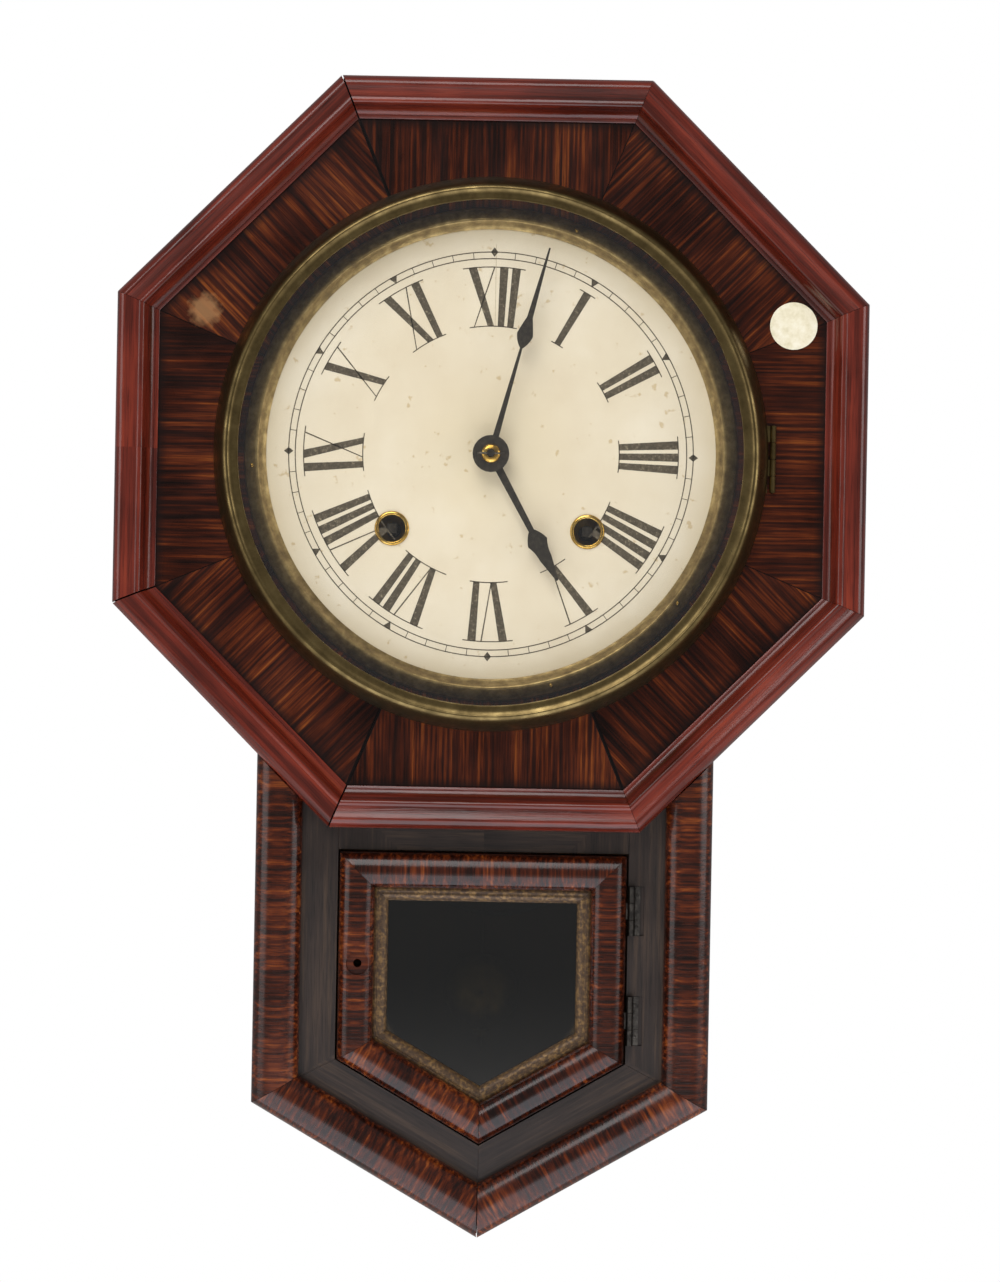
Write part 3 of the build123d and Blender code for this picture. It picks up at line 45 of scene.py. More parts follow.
def place(x, depth, height):
    return Vector((x, -depth, handAxis + height)) / 1000


def around(radius, bearing, centre=(0, 0)):
    # bearing is clockwise from twelve, as on the dial
    angle = math.radians(90 - bearing)
    return (centre[0] + radius * math.cos(angle), centre[1] + radius * math.sin(angle))


# Colours and nodes
def paint(hexCode, alpha=1.0):
    # sRGB hex to the linear values that the shaders take
    channels = [int(hexCode[i:i + 2], 16) / 255 for i in (1, 3, 5)]
    linear = [c / 12.92 if c <= 0.04045 else ((c + 0.055) / 1.055) ** 2.4 for c in channels]
    return (*linear, alpha)


def join(material, source, node, key):
    # source is a socket, or a node whose first output is meant
    socket = source.outputs[0] if isinstance(source, bpy.types.Node) else source
    material.node_tree.links.new(socket, node.inputs[key])


def addNode(material, kind, settings=None, links=None):
    # adds one node, sets its values and joins its inputs; kind leaves out the word ShaderNode, and
    # stops are a colour ramp's (position, colour)
    node = material.node_tree.nodes.new("ShaderNode" + kind)
    for key, value in (settings or {}).items():
        if key == "stops":
            elements = node.color_ramp.elements
            while len(elements) < len(value):
                elements.new(0.5)
            for element, (position, colour) in zip(elements, value):
                element.position = position
                element.color = colour
        elif isinstance(key, str) and hasattr(node, key):
            setattr(node, key, value)
        else:
            node.inputs[key].default_value = value
    for key, source in (links or {}).items():
        join(material, source, node, key)
    return node


def newMaterial(name, surface):
    material = bpy.data.materials.new(name)
    material.use_nodes = True
    shader = material.node_tree.nodes["Principled BSDF"]
    for key, value in surface.items():
        shader.inputs[key].default_value = value
    return material, shader


# Wood
woodValues = {
    "streakSpacing": 1.5,     # mm across the grain, of the broad streaks
    "poreSpacing": 0.5,
    "streakLength": 55.0,     # mm along the grain
    "patchSize": 30.0,
}


tipSlope = 0.866    # cosine of the 30 degrees by which the lower rails slope
tipRise = 0.5       # and its sine


def octagonGrain(material):
    # each panel segment is laid with its grain square to its own side of the octagon
    coords = addNode(material, "TexCoord")
    moved = addNode(
        material, "VectorMath", {"operation": "SUBTRACT", 1: (0, 0, handAxis / 1000)},
        {0: coords.outputs["Object"]},
    )
    parts = addNode(material, "SeparateXYZ", {}, {0: moved})
    angle = addNode(
        material, "Math", {"operation": "ARCTAN2"}, {0: parts.outputs["Z"], 1: parts.outputs["X"]}
    )
    turns = addNode(material, "Math", {"operation": "DIVIDE", 1: angleStep}, {0: angle})
    sector = addNode(material, "Math", {"operation": "ROUND"}, {0: turns})
    heading = addNode(material, "Math", {"operation": "MULTIPLY", 1: angleStep}, {0: sector})
    turned = addNode(
        material, "VectorRotate", {"rotation_type": "Y_AXIS"}, {"Vector": moved, "Angle": heading}
    )
    # distance from the nearest mitre, for the hairline cracks
    off = addNode(material, "Math", {"operation": "SUBTRACT"}, {0: turns, 1: sector})
    away = addNode(material, "Math", {"operation": "ABSOLUTE"}, {0: off})
    near = addNode(material, "Math", {"operation": "SUBTRACT", 0: 0.5}, {1: away})
    reach = addNode(material, "VectorMath", {"operation": "LENGTH"}, {0: moved})
    gap = addNode(material, "Math", {"operation": "MULTIPLY"}, {0: near, 1: reach.outputs["Value"]})
    return turned, sector, gap, turns


def shieldGrain(material, halfWidth, top, tip):
    # cross-banded rails of the drop and the door: the grain runs square to the nearest edge
    coords = addNode(material, "TexCoord")
    moved = addNode(
        material, "VectorMath", {"operation": "SUBTRACT", 1: (0, 0, handAxis / 1000)},
        {0: coords.outputs["Object"]},
    )
    parts = addNode(material, "SeparateXYZ", {}, {0: moved})
    across = addNode(material, "Math", {"operation": "ABSOLUTE"}, {0: parts.outputs["X"]})
    sideGap = addNode(material, "Math", {"operation": "SUBTRACT", 1: halfWidth / 1000}, {0: across})
    halfAcross = addNode(material, "Math", {"operation": "MULTIPLY", 1: tipRise}, {0: across})
    lowPart = addNode(
        material, "Math", {"operation": "MULTIPLY_ADD", 1: -tipSlope, 2: -tipSlope * tip / 1000},
        {0: parts.outputs["Z"]},
    )
    lowGap = addNode(material, "Math", {"operation": "ADD"}, {0: halfAcross, 1: lowPart})
    topGap = addNode(material, "Math", {"operation": "ADD", 1: top / 1000}, {0: parts.outputs["Z"]})
    isLow = addNode(material, "Math", {"operation": "GREATER_THAN"}, {0: lowGap, 1: sideGap})
    most = addNode(material, "Math", {"operation": "MAXIMUM"}, {0: lowGap, 1: sideGap})
    isTop = addNode(material, "Math", {"operation": "GREATER_THAN"}, {0: topGap, 1: most})
    lowTurn = addNode(material, "Math", {"operation": "MULTIPLY", 1: -math.radians(60)}, {0: isLow})
    topTurn = addNode(material, "Math", {"operation": "MULTIPLY", 1: math.radians(90)}, {0: isTop})
    heading = addNode(material, "Math", {"operation": "ADD"}, {0: lowTurn, 1: topTurn})
    mirrored = addNode(
        material, "CombineXYZ", {}, {"X": across, "Y": parts.outputs["Y"], "Z": parts.outputs["Z"]}
    )
    turned = addNode(
        material, "VectorRotate", {"rotation_type": "Y_AXIS"}, {"Vector": mirrored, "Angle": heading}
    )
    sideSign = addNode(material, "Math", {"operation": "SIGN"}, {0: parts.outputs["X"]})
    seed = addNode(material, "Math", {"operation": "MULTIPLY_ADD", 1: 3.0}, {0: sideSign, 2: heading})
    return turned, seed


def woodFigure(material, shader, grain, seed, stops, values=woodValues, gloss=(0.22, 0.42)):
    # streaks and pores drawn along x of the grain frame, varied across its z
    noises = {}
    for key, across, along, detail in (
        ("streak", values["streakSpacing"], values["streakLength"], 4.0),
        ("pore", values["poreSpacing"], values["streakLength"] / 6, 2.0),
        ("patch", values["patchSize"], values["patchSize"] * 1.6, 3.0),
    ):
        scaled = addNode(
            material, "VectorMath",
            {"operation": "MULTIPLY", 1: (1000 / along, 1000 / across * 0.5, 1000 / across)},
            {0: grain},
        )
        offset = addNode(material, "CombineXYZ", {}, {"X": seed, "Y": seed, "Z": seed})
        shifted = addNode(
            material, "VectorMath", {"operation": "MULTIPLY_ADD", 1: (3.7, 5.1, 7.3)},
            {0: offset, 2: scaled},
        )
        noises[key] = addNode(
            material, "TexNoise",
            {"Scale": 1.0, "Detail": detail, "Roughness": 0.55, "Distortion": 0.06},
            {"Vector": shifted},
        )
    blended = addNode(
        material, "Math", {"operation": "MULTIPLY_ADD", 1: 0.62},
        {
            0: noises["streak"],
            2: addNode(material, "Math", {"operation": "MULTIPLY", 1: 0.38}, {0: noises["patch"]}),
        },
    )
    colour = addNode(material, "ValToRGB", {"stops": stops}, {"Fac": blended})
    pores = addNode(
        material, "ValToRGB", {"stops": [(0.30, (0.35, 0.33, 0.32, 1)), (0.47, (1, 1, 1, 1))]},
        {"Fac": noises["pore"]},
    )
    poreMix = addNode(
        material, "Mix", {"data_type": "RGBA", "blend_type": "MULTIPLY", "Factor": 0.75},
        {6: colour, 7: pores},
    )
    rough = addNode(
        material, "MapRange",
        {"From Min": 0.3, "From Max": 0.7, "To Min": gloss[0], "To Max": gloss[1]},
        {"Value": noises["patch"]},
    )
    join(material, rough, shader, "Roughness")
    bump = addNode(material, "Bump", {"Strength": 0.5, "Distance": 0.00008}, {"Height": noises["pore"]})
    join(material, bump, shader, "Normal")
    return poreMix.outputs[2]


veneerStops = [
    (0.36, paint("#110604")),
    (0.44, paint("#220c06")),
    (0.51, paint("#361307")),
    (0.58, paint("#53220b")),
    (0.67, paint("#7c4016")),
]


def makePanelVeneer():
    # rosewood veneer under old shellac: dark streaks with orange patches, hairline cracks at the
    # mitres, a few dull worn places and a band of painted shade along the inner edge of the moulding
    material, shader = newMaterial("rosewoodVeneerPanel", {"Specular IOR Level": 0.16})
    grain, sector, gap, turns = octagonGrain(material)
    wood = woodFigure(material, shader, grain, sector, veneerStops)
    # three of the mitres have opened
    wide = None
    for opened in (2.5, -2.5, -1.5):
        apart = addNode(material, "Math", {"operation": "SUBTRACT", 1: opened}, {0: turns})
        near = addNode(material, "Math", {"operation": "ABSOLUTE"}, {0: apart})
        hit = addNode(material, "Math", {"operation": "LESS_THAN", 1: 0.1}, {0: near})
        wide = hit if wide is None else addNode(
            material, "Math", {"operation": "MAXIMUM"}, {0: wide, 1: hit}
        )
    width = addNode(material, "MapRange", {"To Min": 0.00028, "To Max": 0.0011}, {"Value": wide})
    crack = addNode(material, "Math", {"operation": "LESS_THAN"}, {0: gap, 1: width})
    cracked = addNode(
        material, "Mix", {"data_type": "RGBA", 7: paint("#0b0504")}, {"Factor": crack, 6: wood}
    )
    coords = addNode(material, "TexCoord")
    # the worn patch at the left, where the shellac is gone
    spot = addNode(
        material, "VectorMath", {"operation": "DISTANCE", 1: place(-118, 90, 57)},
        {0: coords.outputs["Object"]},
    )
    scuff = addNode(
        material, "TexNoise", {"Scale": 1000 / 3.0, "Detail": 5.0}, {"Vector": coords.outputs["Object"]}
    )
    ragged = addNode(
        material, "Math", {"operation": "MULTIPLY_ADD", 1: 0.008}, {0: scuff, 2: spot.outputs["Value"]}
    )
    worn = addNode(
        material, "MapRange", {"From Min": 0.0075, "From Max": 0.0115, "To Min": 0.55, "To Max": 0.0},
        {"Value": ragged},
    )
    faded = addNode(
        material, "Mix", {"data_type": "RGBA", 7: paint("#a67b52")},
        {"Factor": worn, 6: cracked.outputs[2]},
    )
    # painted shade: the panel is darkened in a band along the inner edge of the moulding, where the moulding's
    # shadow falls
    corner = addNode(material, "SeparateXYZ", {}, {0: grain})
    dirtAndShade = addNode(
        material, "MapRange", {"From Min": 0.1325, "From Max": 0.1362, "To Min": 0.0, "To Max": 0.85},
        {"Value": corner.outputs["X"]},
    )
    # the painted shade colour is mixed into the panel's base colour here
    shadedPanel = addNode(
        material, "Mix", {"data_type": "RGBA", 7: paint("#140a08")},
        {"Factor": dirtAndShade, 6: faded.outputs[2]},
    )
    join(material, shadedPanel.outputs[2], shader, "Base Color")
    return material


def makeShieldVeneer(name, halfWidth, top, tip, stops=veneerStops, turned=0, gloss=(0.14, 0.28)):
    # wood of the pointed drop: the same veneer laid across half-round mouldings, crisp in its shine,
    # or dark stained softwood with its grain along each rail
    material, shader = newMaterial(name, {"Specular IOR Level": 0.32})
    grain, seed = shieldGrain(material, halfWidth, top, tip)
    laid = addNode(
        material, "VectorRotate", {"rotation_type": "Y_AXIS", "Angle": math.radians(turned)},
        {"Vector": grain},
    )
    wood = woodFigure(material, shader, laid, seed, stops, gloss=gloss)
    join(material, wood, shader, "Base Color")
    return material


def makeMahogany():
    # solid mahogany, french polished red-brown, its grain running along each moulding
    material, shader = newMaterial("redMahogany", {"Specular IOR Level": 0.4})
    grain, sector = octagonGrain(material)[:2]
    swapped = addNode(
        material, "VectorRotate", {"rotation_type": "Y_AXIS", "Angle": math.radians(90)},
        {"Vector": grain},
    )
    stops = [
        (0.30, paint("#2c0e09")), (0.45, paint("#4a180f")), (0.55, paint("#632216")),
        (0.70, paint("#7d301d")),
    ]
    wood = woodFigure(
        material,
        shader,
        swapped,
        sector,
        stops,
        {"streakSpacing": 2.2, "poreSpacing": 0.4, "streakLength": 90.0, "patchSize": 30.0},
        (0.12, 0.26),
    )
    join(material, wood, shader, "Base Color")
    return material


def makePlainWood(name, stops, gloss):
    # stained softwood: straight dark grain, dull
    material, shader = newMaterial(name, {})
    coords = addNode(material, "TexCoord")
    turned = addNode(
        material, "VectorRotate", {"rotation_type": "Y_AXIS", "Angle": math.radians(90)},
        {"Vector": coords.outputs["Object"]},
    )
    zero = addNode(material, "Value")
    wood = woodFigure(
        material,
        shader,
        turned,
        zero,
        stops,
        {"streakSpacing": 4.0, "poreSpacing": 0.7, "streakLength": 120.0, "patchSize": 50.0},
        gloss,
    )
    join(material, wood, shader, "Base Color")
    return material


# Metals and the rest
def makeMetal(name, colours, rough, mottle=6.0, metallic=1.0, brush=0.6):
    # metal with a mottled tarnish: mottle is the size of its spots and brush that of its
    # fine scratches, in millimetres
    material, shader = newMaterial(name, {"Metallic": metallic})
    coords = addNode(material, "TexCoord")
    spots = addNode(
        material, "TexNoise", {"Scale": 1000 / mottle, "Detail": 6.0, "Roughness": 0.62},
        {"Vector": coords.outputs["Object"]},
    )
    colour = addNode(
        material, "ValToRGB",
        {"stops": [(0.34, paint(colours[0])), (0.5, paint(colours[1])), (0.66, paint(colours[2]))]},
        {"Fac": spots},
    )
    join(material, colour, shader, "Base Color")
    roughness = addNode(
        material, "MapRange",
        {"From Min": 0.3, "From Max": 0.7, "To Min": rough[1], "To Max": rough[0]}, {"Value": spots},
    )
    join(material, roughness, shader, "Roughness")
    fine = addNode(
        material, "TexNoise", {"Scale": 1000 / brush, "Detail": 2.0},
        {"Vector": coords.outputs["Object"]},
    )
    bump = addNode(material, "Bump", {"Strength": 0.35, "Distance": 0.00003}, {"Height": fine})
    join(material, bump, shader, "Normal")
    return material


def makePaper():
    # aged paper dial: cream, a little foxed, with a warm stain round the hands
    material, shader = newMaterial("agedDialPaper", {"Roughness": 0.75, "Specular IOR Level": 0.3})
    coords = addNode(material, "TexCoord")
    cloud = addNode(
        material, "TexNoise", {"Scale": 1000 / 45.45, "Detail": 6.0, "Roughness": 0.6},
        {"Vector": coords.outputs["Object"]},
    )
    base = addNode(
        material, "ValToRGB",
        {"stops": [(0.3, paint("#dcd0be")), (0.5, paint("#e3d9c9")), (0.7, paint("#eae2d6"))]},
        {"Fac": cloud},
    )
    away = addNode(
        material, "VectorMath", {"operation": "DISTANCE", 1: place(0, 90.6, 0)},
        {0: coords.outputs["Object"]},
    )
    stain = addNode(
        material, "MapRange",
        {
            "From Min": 0.008, "From Max": 0.045, "To Min": 0.5, "To Max": 0.0,
            "interpolation_type": "SMOOTHSTEP",
        },
        {"Value": away.outputs["Value"]},
    )
    warm = addNode(
        material, "Mix", {"data_type": "RGBA", 7: paint("#dfd2b8")}, {"Factor": stain, 6: base}
    )
    edge = addNode(
        material, "MapRange",
        {
            "From Min": 0.084, "From Max": 0.093, "To Min": 0.0, "To Max": 0.45,
            "interpolation_type": "SMOOTHSTEP",
        },
        {"Value": away.outputs["Value"]},
    )
    rimmed = addNode(
        material, "Mix", {"data_type": "RGBA", 7: paint("#cdbfa4")},
        {"Factor": edge, 6: warm.outputs[2]},
    )
    fox = addNode(
        material, "TexNoise", {"Scale": 1000 / 4.0, "Detail": 3.0}, {"Vector": coords.outputs["Object"]}
    )
    specks = addNode(
        material, "ValToRGB", {"stops": [(0.27, paint("#d8c49c")), (0.33, (1, 1, 1, 1))]}, {"Fac": fox}
    )
    foxed = addNode(
        material, "Mix", {"data_type": "RGBA", "blend_type": "MULTIPLY", "Factor": 0.6},
        {6: rimmed.outputs[2], 7: specks},
    )
    join(material, foxed.outputs[2], shader, "Base Color")
    fibre = addNode(
        material, "TexNoise", {"Scale": 1000 / 0.45, "Detail": 2.0},
        {"Vector": coords.outputs["Object"]},
    )
    bump = addNode(material, "Bump", {"Strength": 0.4, "Distance": 0.00002}, {"Height": fibre})
    join(material, bump, shader, "Normal")
    return material


def makeInk():
    # printed black, faded to a warm grey where it has rubbed thin
    material, shader = newMaterial("fadedInk", {"Roughness": 0.7, "Specular IOR Level": 0.25})
    coords = addNode(material, "TexCoord")
    rubbed = addNode(
        material, "TexNoise", {"Scale": 1000 / 1.1, "Detail": 5.0, "Roughness": 0.7},
        {"Vector": coords.outputs["Object"]},
    )
    colour = addNode(
        material, "ValToRGB",
        {"stops": [(0.42, paint("#494239")), (0.58, paint("#5e564b")), (0.72, paint("#9b917d"))]},
        {"Fac": rubbed},
    )
    join(material, colour, shader, "Base Color")
    return material


def makeClearGlass(name="clearOldGlass", tint="#fbfaf6"):
    # old window glass, clean enough to see only by its reflections
    material, shader = newMaterial(
        name, {"Transmission Weight": 1.0, "Roughness": 0.02, "IOR": 1.45, "Base Color": paint("#fbfaf7")}
    )
    coords = addNode(material, "TexCoord")
    wave = addNode(
        material, "TexNoise", {"Scale": 1000 / 70.0, "Detail": 1.0},
        {"Vector": coords.outputs["Object"]},
    )
    bump = addNode(material, "Bump", {"Strength": 0.06, "Distance": 0.0006}, {"Height": wave})
    join(material, bump, shader, "Normal")
    see = addNode(material, "BsdfTransparent", {"Color": paint(tint)})
    # the front face mirrors for both faces of the pane, since the back one would mirror wholly at a slant
    facing = addNode(material, "Fresnel", {"IOR": 1.69})
    side = addNode(material, "NewGeometry")
    front = addNode(
        material, "Math", {"operation": "SUBTRACT", 0: 1.0}, {1: side.outputs["Backfacing"]}
    )
    mirrored = addNode(material, "Math", {"operation": "MULTIPLY"}, {0: facing, 1: front})
    gloss = addNode(material, "BsdfGlossy", {"Roughness": 0.03, "Color": (1, 1, 1, 1)})
    mixed = addNode(material, "MixShader", {}, {0: mirrored, 1: see, 2: gloss})
    rays = addNode(material, "LightPath")
    seen = addNode(material, "MixShader", {}, {0: rays.outputs["Is Shadow Ray"], 1: mixed, 2: see})
    output = material.node_tree.nodes["Material Output"]
    join(material, seen, output, "Surface")
    return material


# the clear area of the door glass, in mm, and how far its dusty edge wanders
doorGlassValues = {"halfWidth": 38.8, "top": 183.7, "tip": 259.6, "ragged": 3.0}


def makeDoorGlass():
    # the same glass with years of dust: a tan bloom along its edges and in its corners
    material = makeClearGlass("dustyDoorGlass", "#b4b3ad")
    output = material.node_tree.nodes["Material Output"]
    clear = output.inputs["Surface"].links[0].from_socket
    coords = addNode(material, "TexCoord")
    moved = addNode(
        material, "VectorMath", {"operation": "SUBTRACT", 1: (0, 0, handAxis / 1000)},
        {0: coords.outputs["Object"]},
    )
    parts = addNode(material, "SeparateXYZ", {}, {0: moved})
    across = addNode(material, "Math", {"operation": "ABSOLUTE"}, {0: parts.outputs["X"]})
    sideGap = addNode(
        material, "Math", {"operation": "SUBTRACT", 1: doorGlassValues["halfWidth"] / 1000}, {0: across}
    )
    halfAcross = addNode(material, "Math", {"operation": "MULTIPLY", 1: tipRise}, {0: across})
    low = addNode(
        material, "Math",
        {"operation": "MULTIPLY_ADD", 1: -tipSlope, 2: -tipSlope * doorGlassValues["tip"] / 1000},
        {0: parts.outputs["Z"]},
    )
    lowGap = addNode(material, "Math", {"operation": "ADD"}, {0: halfAcross, 1: low})
    topGap = addNode(
        material, "Math", {"operation": "ADD", 1: doorGlassValues["top"] / 1000},
        {0: parts.outputs["Z"]},
    )
    # a smooth maximum rounds the corners of the clear area
    first = addNode(material, "Math", {"operation": "SMOOTH_MAX", 2: 0.02}, {0: sideGap, 1: lowGap})
    edge = addNode(material, "Math", {"operation": "SMOOTH_MAX", 2: 0.012}, {0: first, 1: topGap})
    dust = addNode(
        material, "TexNoise", {"Scale": 1000 / 4.0, "Detail": 6.0, "Roughness": 0.7},
        {"Vector": coords.outputs["Object"]},
    )
    ragged = addNode(
        material, "Math", {"operation": "MULTIPLY_ADD", 1: doorGlassValues["ragged"] / 1000},
        {0: dust, 2: edge},
    )
    bloom = addNode(
        material, "MapRange",
        {
            "From Min": 0.0022, "From Max": 0.0058, "To Min": 0.0, "To Max": 0.7,
            "interpolation_type": "SMOOTHSTEP",
        },
        {"Value": ragged},
    )
    dirtAndShade = addNode(material, "BsdfDiffuse", {"Color": paint("#5a4d3c"), "Roughness": 0.8})
    mixed = addNode(material, "MixShader", {}, {0: bloom, 1: clear, 2: dirtAndShade})
    join(material, mixed, output, "Surface")
    return material


print("materials")
panelVeneer = makePanelVeneer()
dropVeneer = makeShieldVeneer("rosewoodVeneerDrop", 93.5, 105.0, 320.9)
doorVeneer = makeShieldVeneer("rosewoodVeneerDoor", 58.8, 163.7, 282.7)
mahogany = makeMahogany()
frameStops = [(0.3, paint("#150e0b")), (0.5, paint("#2a1f19")), (0.7, paint("#463527"))]
darkWood = makeShieldVeneer("darkStainedFrame", 92.5, 105.0, 319.7, frameStops, 90, (0.34, 0.55))
pine = makePlainWood(
    "stainedPineBoards", [(0.3, paint("#3a2417")), (0.5, paint("#553823")), (0.7, paint("#6e4b30"))],
    (0.55, 0.8),
)
gilt = makeMetal("wornGilding", ("#33241a", "#4d3822", "#7d6038"), (0.35, 0.6), 1.6, 0.4)
agedBrass = makeMetal("tarnishedBrass", ("#4c4028", "#625335", "#7a6944"), (0.26, 0.42), 9.0)
sightBrass = makeMetal("brownedBrass", ("#6a5836", "#86724a", "#a38f63"), (0.3, 0.46), 5.0, 0.75)
brightBrass = makeMetal("polishedBrass", ("#a07f3a", "#c39d4e", "#dcbd72"), (0.12, 0.26), 3.0)
movementBrass = makeMetal("clockBrass", ("#8a6c34", "#a98747", "#c2a261"), (0.28, 0.48), 7.0)
darkSteel = makeMetal("darkenedSteel", ("#2b2927", "#45413d", "#5f5a54"), (0.3, 0.5), 2.5)
handSteel = makeMetal("blackenedHands", ("#1c1815", "#2a2521", "#3a342e"), (0.38, 0.6), 1.8, 0.35)
gongSteel = makeMetal("bluedGongWire", ("#2d3036", "#474b52", "#6a6c70"), (0.25, 0.42), 3.0)
castIron = makeMetal("japannedIron", ("#0f0e0e", "#191818", "#262423"), (0.35, 0.5), 4.0, 0.2)
bobBrass = makeMetal("dullBobBrass", ("#5d4c2a", "#7d683d", "#9c8655"), (0.3, 0.5), 5.0)
paper = makePaper()
ink = makeInk()
clearGlass = makeClearGlass()
doorGlass = makeDoorGlass()
stickerPaper = makeMetal("lotLabelPaper", ("#d9cfae", "#e6ddc1", "#efe8d2"), (0.7, 0.85), 4.0, 0.0)
pencil = makeMetal("pencilLine", ("#b9ad94", "#c3b79e", "#d0c5ad"), (0.7, 0.8), 1.0, 0.0)

nodeMaterials = {
    panelVeneer: ["octagon_panel"], mahogany: ["octagon_moulding"], dropVeneer: ["drop_moulding"],
    doorVeneer: ["door_frame"], darkWood: ["front_frame"],
    pine: [
        "backboard", "left_side_board", "right_side_board", "left_bottom_board", "right_bottom_board",
        "top_board",
    ],
    gilt: ["door_beads"], agedBrass: ["bezel", "bezel_hinge_leaf", "bezel_hinge_strap"],
    sightBrass: ["sight_ring"], brightBrass: ["winding_grommets", "hand_collet"],
    bobBrass: ["pendulum_bob", "rating_nut"],
    darkSteel: [
        "hanger_plate", "door_hinge_case_leaves", "door_hinge_leaves", "hand_pin", "minute_arbor",
        "mainsprings", "time_winding_arbor", "strike_winding_arbor", "time_click", "strike_click",
        "verge", "suspension_spring", "pendulum_rod", "hammer", "strike_lever",
    ],
    handSteel: ["minute_hand", "hour_hand"], gongSteel: ["gong_coil"], castIron: ["gong_stand"],
    paper: ["dial_plate"], clearGlass: ["bezel_glass"], doorGlass: ["door_glass"],
}
dressed = {name: material for material, names in nodeMaterials.items() for name in names}
for name, node in nodes.items():
    if not node.material_slots:
        node.data.materials.append(None)
    for materialSlot in node.material_slots:
        materialSlot.link = "OBJECT"
        materialSlot.material = dressed.get(name, movementBrass)


# Building helpers
def begin():
    # everything is deselected before a new piece is started
    if bpy.context.object and bpy.context.object.mode != "OBJECT":
        bpy.ops.object.mode_set(mode="OBJECT")
    bpy.ops.object.select_all(action="DESELECT")


def editing(start):
    bpy.ops.object.mode_set(mode="EDIT" if start else "OBJECT")


def selectAll():
    bpy.ops.mesh.select_all(action="SELECT")


def settle(piece, name, material, body, hides=(), angle=35.0):
    # last steps of every piece: applied place, smooth faces, its finish and the body it rides on
    begin()
    piece.select_set(True)
    bpy.context.view_layer.objects.active = piece
    bpy.ops.object.transform_apply(location=True, rotation=True, scale=True)
    bpy.ops.object.shade_smooth_by_angle(angle=math.radians(angle))
    piece.name = name
    piece.data.name = name
    piece.data.materials.clear()
    piece.data.materials.append(material)
    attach(piece, body)
    if hides:
        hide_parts(*hides)
    return piece


def applyAll(piece):
    begin()
    piece.select_set(True)
    bpy.context.view_layer.objects.active = piece
    for modifier in list(piece.modifiers):
        bpy.ops.object.modifier_apply(modifier=modifier.name)


def gather(parts):
    # joins parts into the first of them
    begin()
    for part in parts:
        part.select_set(True)
    bpy.context.view_layer.objects.active = parts[0]
    if len(parts) > 1:
        bpy.ops.object.join()
    return bpy.context.object


def shapeVertices(points):
    # moves the new primitive's vertices, in their order, to the given places
    mesh = bmesh.from_edit_mesh(bpy.context.object.data)
    mesh.verts.ensure_lookup_table()
    for vertex, point in zip(mesh.verts, points):
        vertex.co = point
    bmesh.update_edit_mesh(bpy.context.object.data)


def turnedRing(profile, centre=(0, 0), steps=144):
    # profile is (radius, depth) in order; spun about the arbor at centre
    begin()
    bpy.ops.mesh.primitive_circle_add(vertices=len(profile), fill_type="NOTHING")
    editing(True)
    shapeVertices([place(centre[0] + radius, depth, centre[1]) for radius, depth in profile])
    selectAll()
    bpy.ops.mesh.spin(
        steps=steps, angle=math.radians(360), center=place(centre[0], 0, centre[1]), axis=(0, 1, 0)
    )
    selectAll()
    bpy.ops.mesh.remove_doubles(threshold=0.00001)
    bpy.ops.mesh.normals_make_consistent(inside=False)
    editing(False)
    return bpy.context.object


def railPiece(corners, side, depth, profile, crack, openings=()):
    # one moulding along a side of an outline, sawn along the bisectors of its corners
    count = len(corners)
    points = [place(x, depth, z) for x, z in corners]
    runs = [(points[(i + 1) % count] - points[i]).normalized() for i in range(count)]
    run = runs[side]
    start = points[side]
    end = points[(side + 1) % count]
    inwards = Vector((0, -1, 0)).cross(run)
    over = 0.1
    begin()
    bpy.ops.mesh.primitive_circle_add(vertices=len(profile), fill_type="NGON")
    editing(True)
    shapeVertices(
        [start - run * over + inwards * (x / 1000) + Vector((0, -forward / 1000, 0)) for x, forward in profile]
    )
    selectAll()
    bpy.ops.mesh.extrude_region_move(
        TRANSFORM_OT_translate={"value": run * ((end - start).length + 2 * over)}
    )
    startGap = crack / 2000 if side not in openings else 0.00035
    endGap = crack / 2000 if (side + 1) % count not in openings else 0.00035
    for co, normal in (
        (start + run * startGap, (runs[side - 1] + run).normalized()),
        (end - run * endGap, -(run + runs[(side + 1) % count]).normalized()),
    ):
        selectAll()
        bpy.ops.mesh.bisect(plane_co=co, plane_no=normal, use_fill=True, clear_inner=True)
    selectAll()
    bpy.ops.mesh.normals_make_consistent(inside=False)
    editing(False)
    return bpy.context.object


def roundCutter(radius, depthBack, depthFront, x, height, sides=48):
    begin()
    bpy.ops.mesh.primitive_cylinder_add(
        vertices=sides, radius=radius / 1000, depth=(depthFront - depthBack) / 1000,
        rotation=(math.radians(90), 0, 0), location=place(x, (depthBack + depthFront) / 2, height),
    )
    bpy.ops.object.transform_apply(location=True, rotation=True, scale=True)
    return bpy.context.object


def cutAway(piece, cutter):
    modifier = piece.modifiers.new("cut", "BOOLEAN")
    modifier.operation = "DIFFERENCE"
    modifier.solver = "EXACT"
    modifier.object = cutter
    applyAll(piece)
    bpy.data.objects.remove(cutter, do_unlink=True)


def softenEdges(piece, width, segments=2, angle=40.0):
    bevel = piece.modifiers.new("soften", "BEVEL")
    bevel.width = width / 1000
    bevel.segments = segments
    bevel.limit_method = "ANGLE"
    bevel.angle_limit = math.radians(angle)
    bevel.harden_normals = False
    applyAll(piece)


def shield(halfWidth, top, tip):
    corner = tip - halfWidth * math.tan(math.radians(30))
    return [(-halfWidth, -top), (-halfWidth, -corner), (0, -tip), (halfWidth, -corner), (halfWidth, -top)]


